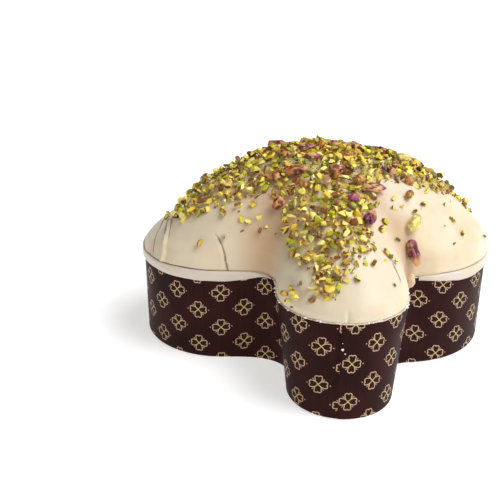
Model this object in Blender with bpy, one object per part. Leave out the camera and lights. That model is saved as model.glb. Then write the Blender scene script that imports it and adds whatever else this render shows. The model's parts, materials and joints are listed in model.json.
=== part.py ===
"""Colomba easter bread: a dove-shaped cake that stands in its printed paper case.

The bread fills the case and rises out of it in one dome. A pale glaze covers the dome, with chopped
pistachio stuck in it and whole kernels lying on it. Where it ran over the rim, from one side of the head
round the wings and the tail to the other side, it has set as a lip over the edge of the paper.

Lengths are in metres. X runs across the wings, and Y from the head (-Y) to the tail (+Y). The origin is
on the underside, in the middle of the length and of the span.
"""

import math
import random

import bmesh
import bpy
import numpy as np
from mathutils import Matrix, Vector
from mathutils.bvhtree import BVHTree

# The whole piece, over the glaze that ran over the rim
LENGTH = 0.290
SPAN = 0.2185

# The paper case
WALL_HEIGHT = 0.056
PAPER = 0.0008
FOLD = 0.0010

# The lobes, as the rim shows them from above
HEAD_X = 0.0088
HEAD_WIDTH = 0.0716
HEAD_LEAN = 0.0074
HEAD_REACH = 0.065
HEAD_FADE = 0.020
WING_Y = -0.0315
LEFT_WING_DEPTH = 0.101
RIGHT_WING_DEPTH = 0.114
WAIST_WIDTH = 0.094
TAIL_WIDTH = 0.104
CORNER_BLEND = 0.013

# The dome, measured up from the rim. It is highest over the middle and arches down to both wings, and to
# the head and the tail, where it is half as high at the distances given. Its shoulders round off to the rim.
DOME_RISE = 0.0600
LEFT_WING_DROP = 0.046
RIGHT_WING_DROP = 0.030
ARCH_BEND = 2.6
HALF_HEIGHT_TO_HEAD = 0.103
HALF_HEIGHT_TO_TAIL = 0.128
SHOULDER = 0.020
SHOULDER_FULLNESS = 0.68
LUMP_HEIGHT = 0.0008
LUMP_LENGTH = 0.045

# The glaze, and how far it reaches down inside the rim
ICING = 0.0022
ICING_TUCK = 0.0030
GAP = 0.0003
GAP_UNDER_GLAZE = 0.0006

# The lip of glaze over the rim: its thickness, its drop outside, its reach inside, and its two ends
LIP = 0.0010
LIP_DROP = 0.0050
LIP_REACH = 0.0010
LIP_CLEARANCE = 0.0007
LIP_STARTS = math.radians(-50)
LIP_ENDS = math.radians(242)
LIP_TAPER = math.radians(14)
LIP_END_SHARE = 0.3

# How finely the surfaces are divided, and the film that gives the dome its shape
MIDDLE = Vector((0.004, -0.028))
SPOKES = 80
FINE_SPOKES = 1440
EXTRA_IN_BENDS = 0.02
RING_SHARES = (1.0, 0.965, 0.90, 0.80, 0.67, 0.52, 0.35, 0.17)
FILM_STEP = 0.0022
FILM_ROUNDS = 1500
FILM_MARGIN_ROUNDS = 6
BISECTIONS = 40
SLOPE_STEP = 0.0005
SAME_POINT = 1e-6
SHARP_ANGLE = math.radians(40)

# Whole kernels: x and y, heading in degrees, length and width, with the lengths in millimetres, and the skin
MILLIMETRE = 0.001
KERNELS = (
    (-13, -57, 10, 13.5, 9.5, "red"),
    (-24, -72, 60, 9, 8, "red"),
    (-27, -55, 150, 10.5, 8, "red"),
    (-22, 0, 15, 15, 9.5, "red"),
    (-3, 22, 40, 9, 7.5, "green"),
    (-20, -34, 120, 10, 8, "red"),
    (-6, -24, 20, 12, 8.5, "tan"),
    (-4, -43, 165, 11.5, 7.5, "tan"),
    (11, 8, 100, 9.5, 7.5, "green"),
    (12, -16, 95, 13, 8, "red"),
    (10, -54, 20, 9, 7.5, "tan"),
    (26, 1, 10, 11, 8, "green"),
    (24, -26, 35, 10, 8.5, "tan"),
    (38, -6, 170, 14, 8.5, "tan"),
    (41, -20, 130, 11, 8, "purple"),
    (51, -4, 80, 11.5, 9.5, "red"),
    (64, -14, 5, 12.5, 7, "tan"),
    (54, -26, 25, 12, 8.5, "green"),
    (40, -51, 160, 10, 7.5, "purple"),
    (30, -68, 5, 14.5, 8, "tan"),
    (18, -77, 25, 10, 7, "purple"),
    (24, -90, 75, 12, 9, "purple"),
    (51, -79, 80, 13, 8.5, "green"),
    (-30, 28, 70, 12, 8.5, "red"),
    (22, 34, 140, 13, 8.5, "tan"),
    (-9, 52, 30, 12.5, 8.5, "purple"),
    (7, 78, 100, 13, 8.5, "red"),
    (52, 16, 60, 12, 8, "tan"),
    (49.8, -87.6, -65, 15, 9, "purple"),
)
KERNEL_SIDES = 8
KERNEL_RINGS = 5
KERNEL_TAPER = 0.22
KERNEL_UNEVENNESS = (0.94, 1.04)
KERNEL_HEIGHT = 0.85
KERNEL_UNDERSIDE = 0.55
KERNEL_GAP = 0.0004
SETTLING_ROUNDS = 8

# Chopped pistachio, fused to the glaze: most of it lies along the ridges, wing to wing and head to tail
CHIPS = 124
SHORTEST_CHIP = 0.0040
LONGEST_CHIP = 0.0080
CHIP_WIDTHS = (0.55, 0.9)
CHIP_HEIGHTS = (0.45, 0.75)
CHIP_UNEVENNESS = (0.85, 1.15)
CHIP_SUNK = 0.25
CHIP_REACH = 0.62
CHIP_SPACING = 0.0060
CHIP_TO_RIM = 0.009
CHIP_SPREAD = 0.024
CHIPS_ANYWHERE = 0.06
RIDGES = (
    (Vector((-0.072, -0.030)), Vector((0.080, -0.028))),
    (Vector((0.004, 0.100)), Vector((0.008, -0.118))),
)
SEED = 7

# Colour and roughness
PAPER_LOOK = ((0.035, 0.012, 0.014, 1.0), 0.55)
BREAD_LOOK = ((0.80, 0.52, 0.12, 1.0), 0.90)
GLAZE_LOOK = ((0.86, 0.78, 0.62, 1.0), 0.38)
KERNEL_LOOKS = {
    "red": ((0.30, 0.09, 0.05, 1.0), 0.55),
    "purple": ((0.20, 0.05, 0.08, 1.0), 0.50),
    "tan": ((0.55, 0.34, 0.17, 1.0), 0.60),
    "green": ((0.62, 0.56, 0.20, 1.0), 0.60),
}


def lobes():
    """Each lobe of the rim as its inner point, outer point, inner radius and outer radius."""
    head = HEAD_WIDTH / 2
    left, right = LEFT_WING_DEPTH / 2, RIGHT_WING_DEPTH / 2
    waist, tail = WAIST_WIDTH / 2, TAIL_WIDTH / 2
    half_span = SPAN / 2 - GAP - LIP
    tail_end = LENGTH / 2 - GAP - LIP
    centre = Vector((0.0, WING_Y))
    return (
        (Vector((HEAD_X, WING_Y)), Vector((HEAD_X, head - LENGTH / 2)), head, head),
        (centre, Vector((left - half_span, WING_Y)), left, left),
        (centre, Vector((half_span - right, WING_Y)), right, right),
        (centre, Vector((0.0, tail_end - tail)), waist, tail),
    )


def outside_by(x, y):
    """How far a point lies outside the rim, below 0 inside it, with the lobes blended in the corners."""
    distance = None
    for inner, outer, inner_radius, outer_radius in lobes():
        along = outer - inner
        share = ((x - inner.x) * along.x + (y - inner.y) * along.y) / along.length_squared
        share = np.clip(share, 0, 1)
        lobe = np.hypot(x - inner.x - along.x * share, y - inner.y - along.y * share)
        lobe = lobe - inner_radius - (outer_radius - inner_radius) * share
        if distance is None:
            distance = lobe
            continue
        blend = np.maximum(CORNER_BLEND - np.abs(distance - lobe), 0) / CORNER_BLEND
        distance = np.minimum(distance, lobe) - blend**2 * CORNER_BLEND / 4
    return distance


class Rim:
    """Points on the rim, one in each direction from the middle, and the way out of the wall at each."""

    def __init__(self, angles):
        self.angles = angles
        across, along = np.cos(angles), np.sin(angles)
        near, far = np.zeros_like(angles), np.full_like(angles, LENGTH)
        for _ in range(BISECTIONS):
            half = (near + far) / 2
            inside = outside_by(MIDDLE.x + across * half, MIDDLE.y + along * half) < 0
            near = np.where(inside, half, near)
            far = np.where(inside, far, half)
        x, y = MIDDLE.x + across * near, MIDDLE.y + along * near
        out_x = outside_by(x + SLOPE_STEP, y) - outside_by(x - SLOPE_STEP, y)
        out_y = outside_by(x, y + SLOPE_STEP) - outside_by(x, y - SLOPE_STEP)
        self.points = np.column_stack([x, y])
        self.out = np.column_stack([out_x, out_y]) / np.hypot(out_x, out_y)[:, None]
        near_head = np.clip((HEAD_REACH - np.abs(x - HEAD_X)) / HEAD_FADE, 0, 1) * (y < WING_Y)
        self.lean = HEAD_LEAN * (1 - np.abs(self.out[:, 1])) * near_head

    def inward(self, inset, level=1.0):
        """The rim moved in by the inset, and by the head's lean where it is below the rim."""
        move = inset + self.lean * (1 - level)
        return self.points - self.out * np.reshape(move, (-1, 1))

    def ring(self, inset, height):
        """A ring of points at one height."""
        flat = self.inward(inset, height / WALL_HEIGHT)
        return np.column_stack([flat, np.full(len(flat), height)])

    def lipped(self):
        """1 where the glaze ran over the rim, 0 at the head, and in between at the lip's two ends."""
        from_end = np.minimum(self.angles - LIP_STARTS, LIP_ENDS - self.angles)
        share = np.clip(from_end / LIP_TAPER + 1, 0, 1)
        return share * share * (3 - 2 * share)


def directions(first, last, count):
    """Directions from the middle that share the rim evenly, but lie closer together where it bends."""
    fine = np.linspace(first, last, FINE_SPOKES)
    step = np.diff(Rim(fine).points, axis=0)
    heading = np.unwrap(np.arctan2(step[:, 1], step[:, 0]))
    bend = np.abs(np.diff(heading, append=heading[-1]))
    run = np.cumsum(np.hypot(step[:, 0], step[:, 1]) + EXTRA_IN_BENDS * bend)
    run = np.concatenate([[0], run])
    return np.interp(np.linspace(0, run[-1], count), run, fine)


class Dome:
    """The top of the glaze: an arch over the cake, with shoulders like a film blown up over the rim."""

    def __init__(self):
        half = LENGTH / 2
        self.count = int(2 * half / FILM_STEP) + 2
        places = np.arange(self.count) * FILM_STEP - half
        x, y = np.meshgrid(places, places, indexing="ij")
        depth = np.maximum(-outside_by(x, y), 0)
        inside = depth[1:-1, 1:-1] > 0
        film = np.zeros_like(depth)
        for _ in range(FILM_ROUNDS):
            around = film[:-2, 1:-1] + film[2:, 1:-1] + film[1:-1, :-2] + film[1:-1, 2:]
            blown = (around + FILM_STEP**2) / (4 + (FILM_STEP / SHOULDER) ** 2)
            film[1:-1, 1:-1] = np.where(inside, blown, 0)
        # Film over depth hardly changes near the rim, so that is what is kept, and carried on past the rim
        known = depth > FILM_STEP
        self.ratio = np.where(known, film / np.maximum(depth, FILM_STEP), 0)
        for _ in range(FILM_MARGIN_ROUNDS):
            total, found = np.zeros_like(film), np.zeros_like(film)
            for shift, axis in ((1, 0), (-1, 0), (1, 1), (-1, 1)):
                total += np.roll(self.ratio, shift, axis)
                found += np.roll(known, shift, axis)
            fresh = ~known & (found > 0)
            self.ratio = np.where(fresh, total / np.maximum(found, 1), self.ratio)
            known = known | fresh

    def shoulder(self, x, y):
        """0 at the rim, and nearly 1 in the middle of each lobe."""
        last = self.count - 1.001
        across = np.clip((x + LENGTH / 2) / FILM_STEP, 0, last)
        along = np.clip((y + LENGTH / 2) / FILM_STEP, 0, last)
        i, j = across.astype(int), along.astype(int)
        s, t = across - i, along - j
        near = (1 - t) * self.ratio[i, j] + t * self.ratio[i, j + 1]
        far = (1 - t) * self.ratio[i + 1, j] + t * self.ratio[i + 1, j + 1]
        film = ((1 - s) * near + s * far) * np.maximum(-outside_by(x, y), 0)
        return (film / SHOULDER**2) ** SHOULDER_FULLNESS

    def height(self, x, y):
        """How high the top of the glaze stands over the rim."""
        from_top = x - MIDDLE.x
        drop = np.where(from_top < 0, LEFT_WING_DROP, RIGHT_WING_DROP)
        arch = DOME_RISE - drop * (np.abs(from_top) / (SPAN / 2)) ** ARCH_BEND
        half_height = np.where(y < MIDDLE.y, HALF_HEIGHT_TO_HEAD, HALF_HEIGHT_TO_TAIL)
        arch = arch / (1 + ((y - MIDDLE.y) / half_height) ** 2)
        turn = 2 * math.pi / LUMP_LENGTH
        lumps = np.sin(turn * (x + 0.4 * y)) + np.sin(turn * (0.8 * y - 0.5 * x) + 1.0)
        return self.shoulder(x, y) * (arch + LUMP_HEIGHT * lumps)

    def normal(self, x, y):
        """The direction straight out of the glaze, as three arrays."""
        run = 2 * SLOPE_STEP
        rise_x = (self.height(x + SLOPE_STEP, y) - self.height(x - SLOPE_STEP, y)) / run
        rise_y = (self.height(x, y + SLOPE_STEP) - self.height(x, y - SLOPE_STEP)) / run
        size = np.sqrt(rise_x**2 + rise_y**2 + 1)
        return -rise_x / size, -rise_y / size, 1 / size


def pole(height):
    """Every spoke's point drawn together over the middle."""
    return np.tile([MIDDLE.x, MIDDLE.y, height], (SPOKES, 1))


def foot_inset(rim):
    """How far inside the rim the foot of the glaze stands: against the paper, or clear of the lip."""
    return PAPER + GAP + (LIP_REACH + LIP_CLEARANCE - GAP) * rim.lipped()


def dome_rings(dome, rim, sunk):
    """The rings of the dome from its foot to its top, moved straight in from the glaze's surface."""
    foot = rim.inward(foot_inset(rim))
    rings = []
    for share in RING_SHARES + (0.0,):
        x = MIDDLE.x + (foot[:, 0] - MIDDLE.x) * share
        y = MIDDLE.y + (foot[:, 1] - MIDDLE.y) * share
        out_x, out_y, out_z = dome.normal(x, y)
        z = WALL_HEIGHT + dome.height(x, y)
        rings.append(np.column_stack([x - out_x * sunk, y - out_y * sunk, z - out_z * sunk]))
    return rings


def at_height(ring, height):
    """The same ring at one height, or at one for each point."""
    return np.column_stack([ring[:, :2], np.broadcast_to(height, len(ring))])


def mesh_from_rings(name, rings):
    """A surface through rings with the same number of points, welded along its seam and at its poles."""
    count = len(rings[0])
    work = bmesh.new()
    bmesh.ops.create_grid(work, x_segments=count, y_segments=len(rings) - 1, size=1)
    work.verts.ensure_lookup_table()
    for row, ring in enumerate(rings):
        for column in range(count + 1):
            work.verts[row * (count + 1) + column].co = Vector(ring[column % count])
    bmesh.ops.triangulate(work, faces=work.faces[:], quad_method="FIXED")
    bmesh.ops.remove_doubles(work, verts=work.verts[:], dist=SAME_POINT)
    open_edges = [edge for edge in work.edges if edge.is_boundary]
    if open_edges:
        filled = bmesh.ops.holes_fill(work, edges=open_edges, sides=0)
        bmesh.ops.triangulate(work, faces=filled["faces"])
    bmesh.ops.recalc_face_normals(work, faces=work.faces[:])
    mesh = bpy.data.meshes.new(name)
    work.to_mesh(mesh)
    work.free()
    return mesh


def material(name, look):
    """A plain finish with the piece's colour."""
    made = bpy.data.materials.get(name) or bpy.data.materials.new(name)
    made.use_nodes = True
    shader = made.node_tree.nodes["Principled BSDF"]
    shader.inputs["Base Color"].default_value = look[0]
    shader.inputs["Roughness"].default_value = look[1]
    shader.inputs["Metallic"].default_value = 0.0
    return made


def add_object(name, mesh, finish):
    """An object for the mesh, shaded smooth but for its sharp edges."""
    mesh.materials.append(finish)
    mesh.shade_smooth()
    mesh.set_sharp_from_angle(angle=SHARP_ANGLE)
    made = bpy.data.objects.new(name, mesh)
    bpy.context.scene.collection.objects.link(made)
    return made


def add_paper_case(rim):
    """The case: a flat floor, a small fold round it and a thin wall, which leans out at the head."""
    rings = [
        pole(0.0),
        rim.ring(FOLD, 0.0),
        rim.ring(0.0, FOLD),
        rim.ring(0.0, WALL_HEIGHT),
        rim.ring(PAPER, WALL_HEIGHT),
        rim.ring(PAPER, FOLD + PAPER),
        rim.ring(PAPER + FOLD, PAPER),
        pole(PAPER),
    ]
    mesh = mesh_from_rings("paper_case", rings)
    return add_object("paper_case", mesh, material("paper", PAPER_LOOK))


def add_bread(dome, rim):
    """The bread fills the case up to the foot of the glaze, and backs the glaze all over."""
    floor = PAPER + GAP
    shoulder = WALL_HEIGHT - ICING_TUCK - GAP
    crown = dome_rings(dome, rim, ICING + GAP_UNDER_GLAZE)
    # From the top down, as inside the case and on the underside of the glaze, so that the facets agree
    rings = crown[::-1] + [
        at_height(crown[0], shoulder),
        rim.ring(floor, shoulder),
        rim.ring(floor, floor + FOLD),
        rim.ring(floor + FOLD, floor),
        pole(floor),
    ]
    mesh = mesh_from_rings("bread", rings)
    return add_object("bread", mesh, material("bread", BREAD_LOOK))


def add_icing(dome, rim):
    """The glaze: an even skin over the dome, with an upright edge that goes down inside the rim."""
    top = dome_rings(dome, rim, 0.0)
    under = dome_rings(dome, rim, ICING)
    tuck = WALL_HEIGHT - ICING_TUCK
    edge = [at_height(under[0], tuck), rim.ring(foot_inset(rim), tuck)]
    mesh = mesh_from_rings("icing", under[::-1] + edge + top)
    return add_object("icing", mesh, material("glaze", GLAZE_LOOK))


def add_lip(rim):
    """The lip: a cap over the edge of the paper that hangs down outside it and thins out at both ends."""
    rim = Rim(rim.angles[(rim.angles > LIP_STARTS) & (rim.angles < LIP_ENDS)])
    from_end = np.minimum(rim.angles - LIP_STARTS, LIP_ENDS - rim.angles) / LIP_TAPER
    drop = LIP_DROP * (LIP_END_SHARE + (1 - LIP_END_SHARE) * np.clip(from_end, 0, 1))
    top = WALL_HEIGHT + GAP
    profile = (
        (-GAP, top),
        (-GAP, WALL_HEIGHT - drop),
        (-GAP - LIP, WALL_HEIGHT - drop),
        (-GAP - LIP, top + LIP / 2),
        (-GAP - LIP / 2, top + LIP),
        (PAPER + LIP_REACH, top + LIP),
        (PAPER + LIP_REACH, top),
    )
    rings = [at_height(rim.inward(inset), height) for inset, height in profile]
    sections = [np.array(section) for section in zip(*rings)]
    mesh = mesh_from_rings("glaze_lip", sections)
    return add_object("glaze_lip", mesh, material("glaze", GLAZE_LOOK))


def surface_of(things):
    """The surface of the objects together, to measure distances to."""
    work = bmesh.new()
    for thing in things:
        work.from_mesh(thing.data)
    tree = BVHTree.FromBMesh(work)
    work.free()
    return tree


def frame_on(surface, x, y, heading):
    """Axes that stand on the glaze at a place: X along the heading, Z straight out."""
    place, out, _, _ = surface.ray_cast(Vector((x, y, LENGTH)), Vector((0, 0, -1)))
    ahead = Vector((math.cos(heading), math.sin(heading), 0))
    side = out.cross(ahead).normalized()
    turn = Matrix((side.cross(out), side, out)).transposed().to_4x4()
    return Matrix.Translation(place) @ turn


def kernel_mesh(name, length, width, draw):
    """A kernel along X: blunt at one end, narrower at the other, flat below and a little uneven."""
    work = bmesh.new()
    bmesh.ops.create_uvsphere(work, u_segments=KERNEL_SIDES, v_segments=KERNEL_RINGS, radius=0.5)
    bmesh.ops.rotate(work, verts=work.verts[:], matrix=Matrix.Rotation(math.radians(90), 3, "Y"))
    for vert in work.verts:
        slim = (1 - KERNEL_TAPER * (vert.co.x + 0.5)) * draw.uniform(*KERNEL_UNEVENNESS)
        vert.co.x *= length
        vert.co.y *= width * slim
        vert.co.z *= width * slim * KERNEL_HEIGHT
        if vert.co.z < 0:
            vert.co.z *= KERNEL_UNDERSIDE
    mesh = bpy.data.meshes.new(name)
    work.to_mesh(mesh)
    work.free()
    return mesh


def lower_onto(surface, mesh, down):
    """Lowers the mesh until its nearest point is the kernel's gap away from the surface."""
    for _ in range(SETTLING_ROUNDS):
        points = [vert.co for vert in mesh.vertices] + [face.center for face in mesh.polygons]
        clearance = min(surface.find_nearest(point)[3] for point in points)
        mesh.transform(Matrix.Translation(down * (clearance - KERNEL_GAP)))


def add_kernels(surface, draw):
    """Whole kernels that rest on the glaze, each turned to the slope under it."""
    kernels = []
    for number, (x, y, heading, length, width, skin) in enumerate(KERNELS, start=1):
        name = f"kernel_{number:02d}"
        mesh = kernel_mesh(name, length * MILLIMETRE, width * MILLIMETRE, draw)
        frame = frame_on(surface, x * MILLIMETRE, y * MILLIMETRE, math.radians(heading))
        out = frame.col[2].to_3d()
        mesh.transform(Matrix.Translation(out * width * MILLIMETRE) @ frame)
        lower_onto(surface, mesh, -out)
        kernels.append(add_object(name, mesh, material(f"kernel_{skin}", KERNEL_LOOKS[skin])))
    return kernels


def from_ridges(place):
    """How far a place is from the nearest ridge."""
    distances = []
    for first, last in RIDGES:
        along = last - first
        share = min(max((place - first).dot(along) / along.length_squared, 0), 1)
        distances.append((place - first - along * share).length)
    return min(distances)


def chip_places(surface, kernels, draw):
    """Frames and sizes for the chips, drawn at random: most of them near the ridges, and a few anywhere."""
    kernel_surface = surface_of(kernels)
    chips = []
    while len(chips) < CHIPS:
        flat = Vector((draw.uniform(-SPAN, SPAN) / 2, draw.uniform(-LENGTH, LENGTH) / 2))
        wanted = CHIPS_ANYWHERE + math.exp(-((from_ridges(flat) / CHIP_SPREAD) ** 2))
        if draw.random() > wanted or outside_by(flat.x, flat.y) > -CHIP_TO_RIM:
            continue
        frame = frame_on(surface, flat.x, flat.y, draw.uniform(0, 2 * math.pi))
        place = frame.translation
        size = draw.uniform(SHORTEST_CHIP, LONGEST_CHIP)
        to_kernel = kernel_surface.find_nearest(place)[3]
        apart = all((place - other.translation).length > CHIP_SPACING for other, _ in chips)
        if apart and to_kernel > size * CHIP_REACH + GAP:
            chips.append((frame, size))
    return chips


def chip_mesh(size, draw):
    """An uneven lump, sunk a little way into the plane it lies on."""
    work = bmesh.new()
    bmesh.ops.create_icosphere(work, subdivisions=1, radius=0.5)
    for vert in work.verts:
        vert.co *= draw.uniform(*CHIP_UNEVENNESS)
    stretch = (size, size * draw.uniform(*CHIP_WIDTHS), size * draw.uniform(*CHIP_HEIGHTS))
    bmesh.ops.scale(work, vec=stretch, verts=work.verts[:])
    bmesh.ops.translate(work, vec=(0, 0, stretch[2] * (0.5 - CHIP_SUNK)), verts=work.verts[:])
    mesh = bpy.data.meshes.new("chip")
    work.to_mesh(mesh)
    work.free()
    return mesh


def chop_pistachio(icing, surface, kernels, draw):
    """Fuses the chips to the glaze."""
    chips = bpy.data.collections.new("chips")
    bpy.context.scene.collection.children.link(chips)
    for frame, size in chip_places(surface, kernels, draw):
        mesh = chip_mesh(size, draw)
        mesh.transform(frame)
        chips.objects.link(bpy.data.objects.new("chip", mesh))
    union = icing.modifiers.new("chips", "BOOLEAN")
    union.operation = "UNION"
    union.operand_type = "COLLECTION"
    union.collection = chips
    union.solver = "EXACT"
    graph = bpy.context.evaluated_depsgraph_get()
    fused = bpy.data.meshes.new_from_object(icing.evaluated_get(graph))
    icing.modifiers.clear()
    icing.data = fused
    for chip in list(chips.objects):
        bpy.data.objects.remove(chip)
    bpy.data.collections.remove(chips)


def main():
    for thing in list(bpy.data.objects):
        bpy.data.objects.remove(thing)
    draw = random.Random(SEED)
    rim = Rim(directions(-math.pi / 2, 3 * math.pi / 2, SPOKES + 1)[:-1])
    dome = Dome()
    add_paper_case(rim)
    add_bread(dome, rim)
    icing = add_icing(dome, rim)
    add_lip(rim)
    surface = surface_of([icing])
    kernels = add_kernels(surface, draw)
    chop_pistachio(icing, surface, kernels, draw)


main()
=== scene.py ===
"""The looks of a dove-shaped Easter cake in its printed paper case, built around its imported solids.

The file is laid out as an add-on. Each operator makes one piece or one group of like pieces, the property
groups hold the sizes and colours that one would change, and main() calls the operators in order. Lengths
are in metres. X runs across the wings, Y from the head (-Y) to the tail (+Y), and Z up from the floor.
"""

import json
import math
import random

import bmesh
import bpy
import numpy as np
from mathutils import Matrix, Vector, noise
from mathutils.bvhtree import BVHTree

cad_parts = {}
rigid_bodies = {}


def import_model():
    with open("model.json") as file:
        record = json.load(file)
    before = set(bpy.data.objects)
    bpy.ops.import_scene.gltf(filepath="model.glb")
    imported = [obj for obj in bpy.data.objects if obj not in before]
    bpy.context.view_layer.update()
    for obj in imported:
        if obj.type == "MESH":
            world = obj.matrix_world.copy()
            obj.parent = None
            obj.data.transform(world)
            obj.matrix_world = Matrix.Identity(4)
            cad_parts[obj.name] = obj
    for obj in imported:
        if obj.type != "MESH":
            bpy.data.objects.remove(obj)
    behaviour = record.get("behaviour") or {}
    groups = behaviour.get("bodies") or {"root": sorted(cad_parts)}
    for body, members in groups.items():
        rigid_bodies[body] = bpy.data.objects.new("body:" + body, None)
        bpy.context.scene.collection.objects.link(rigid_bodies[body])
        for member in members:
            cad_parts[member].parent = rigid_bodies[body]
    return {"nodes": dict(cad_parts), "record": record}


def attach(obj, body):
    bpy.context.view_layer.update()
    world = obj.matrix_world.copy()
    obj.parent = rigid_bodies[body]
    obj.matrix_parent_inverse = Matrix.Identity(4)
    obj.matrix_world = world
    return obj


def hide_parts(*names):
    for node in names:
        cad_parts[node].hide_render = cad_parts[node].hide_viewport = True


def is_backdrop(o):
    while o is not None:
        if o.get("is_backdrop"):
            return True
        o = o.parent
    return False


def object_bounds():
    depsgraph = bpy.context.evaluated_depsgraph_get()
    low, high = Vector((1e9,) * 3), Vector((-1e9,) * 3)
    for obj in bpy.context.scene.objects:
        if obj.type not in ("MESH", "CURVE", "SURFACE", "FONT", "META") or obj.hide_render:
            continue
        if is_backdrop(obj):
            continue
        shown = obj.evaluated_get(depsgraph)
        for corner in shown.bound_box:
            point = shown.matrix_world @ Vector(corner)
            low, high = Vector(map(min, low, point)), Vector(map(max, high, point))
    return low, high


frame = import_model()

CAD_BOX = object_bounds()

bl_info = {
    "name": "Dove-shaped Easter cake",
    "version": (1, 0, 0),
    "blender": (4, 5, 0),
    "location": "3D View > Sidebar > Cake",
    "description": "A glazed cake in a printed paper case, with chopped and whole pistachios",
    "category": "Add Mesh",
}

MILLIMETRE = 0.001
BODY = "root"
SEED = 11

# How close two points are that count as one: in the mesh of a solid, and where a woven surface closes
ONE_IN_SOLID = 1e-6
ONE_IN_WEAVE = 1e-7

# The camera's picture, in pixels each way, and the width of its sensor in millimetres
PICTURE = 500
SENSOR = 36.0


def ink(red, green, blue):
    """A colour given as it shows on screen, from 0 to 255, as the amounts of light that a shader takes."""
    shares = (red / 255, green / 255, blue / 255)
    return tuple(s / 12.92 if s <= 0.04045 else ((s + 0.055) / 1.055) ** 2.4 for s in shares)


def length_of(name, description, default):
    """A length that can be set, in metres."""
    return bpy.props.FloatProperty(
        name=name, description=description, default=default, min=0.0, unit="LENGTH", precision=5
    )


def amount_of(name, description, default):
    """A plain number that can be set."""
    return bpy.props.FloatProperty(name=name, description=description, default=default, precision=3)


def power_of(name, description, default):
    """The power of a light."""
    return bpy.props.FloatProperty(name=name, description=description, default=default, unit="POWER")


def count_of(name, description, default):
    """A whole number that can be set."""
    return bpy.props.IntProperty(name=name, description=description, default=default, min=1)


def colour_of(name, description, default):
    """A colour that can be set."""
    return bpy.props.FloatVectorProperty(
        name=name, description=description, default=default, size=3, subtype="COLOR", min=0.0, max=1.0
    )


class CakeShape(bpy.types.PropertyGroup):
    """The form of the case and of the dome, which is that of the solids."""

    length: length_of("Length", "From head to tail, over the lip of glaze", 0.290)
    span: length_of("Span", "From wing to wing, over the lip of glaze", 0.2185)
    wall: length_of("Wall height", "Height of the paper case", 0.056)
    paper: length_of("Paper", "Thickness of the paper", 0.0008)
    fold: length_of("Fold", "Radius of the fold round the floor of the case", 0.0010)
    gap: length_of("Gap", "Gap that the solids keep to each other", 0.0003)
    head_x: length_of("Head off centre", "How far the head is off the middle of the span", 0.0088)
    head_width: length_of("Head width", "Width of the head at the rim", 0.0716)
    head_lean: length_of("Head lean", "How far the sides of the head lean out up to the rim", 0.0074)
    head_reach: length_of("Lean reach", "How far from the head's middle its lean ends", 0.065)
    head_fade: length_of("Lean fade", "Distance over which the lean fades out", 0.020)
    wings_back: amount_of("Wings' place", "Where the wings lie between head and tail, in metres", -0.0315)
    left_wing: length_of("Left wing", "Depth of the left wing from front to back", 0.101)
    right_wing: length_of("Right wing", "Depth of the right wing from front to back", 0.114)
    waist: length_of("Waist", "Width of the tail where it leaves the wings", 0.094)
    tail: length_of("Tail", "Width of the tail at its end", 0.104)
    corner: length_of("Corner", "How softly the lobes run into each other", 0.013)
    rise: length_of("Rise", "Height of the dome over the rim", 0.0600)
    left_drop: length_of("Left drop", "How much the dome falls towards the left wing's end", 0.046)
    right_drop: length_of("Right drop", "How much the dome falls towards the right wing's end", 0.030)
    arch_bend: amount_of("Arch bend", "How late the arch from wing to wing bends down", 2.6)
    half_to_head: length_of("To the head", "Where the arch has sunk to half, towards the head", 0.103)
    half_to_tail: length_of("To the tail", "Where the arch has sunk to half, towards the tail", 0.128)
    shoulder: length_of("Shoulder", "How wide the shoulders of the dome are", 0.020)
    fullness: amount_of("Fullness", "Smaller makes the shoulders rounder", 0.68)
    lump_height: length_of("Lump height", "Height of the broad lumps in the dome", 0.0008)
    lump_length: length_of("Lump length", "Distance between the broad lumps", 0.045)
    glaze: length_of("Glaze", "Thickness of the glaze", 0.0022)
    tuck: length_of("Tuck", "How far the edge of the glaze goes down inside the rim", 0.0030)
    lip: length_of("Lip", "Thickness of the glaze that ran over the rim", 0.0010)
    lip_drop: length_of("Lip drop", "How far that glaze hangs down outside", 0.0050)
    lip_reach: length_of("Lip reach", "How far that glaze reaches inside the paper", 0.0010)
    lip_clearance: length_of("Lip clearance", "Gap between that glaze and the foot of the dome", 0.0007)


class PaperLook(bpy.types.PropertyGroup):
    """The printed paper of the case."""

    ground: colour_of("Paper", "Colour of the paper", ink(52, 23, 21))
    shade: colour_of("Paper, darker", "Colour of the paper's darker patches", ink(38, 18, 16))
    inside: colour_of("Leaves", "Colour of the paper inside the printed leaves", ink(44, 26, 8))
    gold: colour_of("Print", "Colour of the printed lines near a clover's middle", ink(222, 196, 144))
    rose: colour_of("Print, outside", "Colour of the printed lines round a clover", ink(218, 180, 156))
    cut: colour_of("Cut edge", "Colour of the paper where it is cut", ink(244, 224, 200))
    lining: colour_of("Lining", "Colour of the paper inside", ink(214, 190, 160))
    # Painted shadow: near black, it darkens the paper beside the lap, where the lap's edge casts shade
    seam: colour_of("Seam", "Colour beside the lap in the paper", (0.004, 0.002, 0.002))
    column: length_of("Columns", "Distance between the columns of clovers", 0.01369)
    row: length_of("Rows", "Distance between the clovers of a column", 0.0224)
    first_column: length_of("First column", "From the lap to the first column", 0.0065)
    all_round: length_of("All round", "Length of the print from one side of the lap to the other", 0.8244)
    first_row: length_of("First row", "Height of a clover in the first column", 0.0338)
    clover: length_of("Clover", "From a clover's middle to the tip of a leaf", 0.0051)
    stroke: length_of("Stroke", "Width of the printed lines", 0.00046)
    slant: amount_of("Slant", "How far the print on the head leans to the right, for each metre up", 0.04)
    lap: length_of("Lap", "How far the paper overlaps at the head", 0.012)


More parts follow.
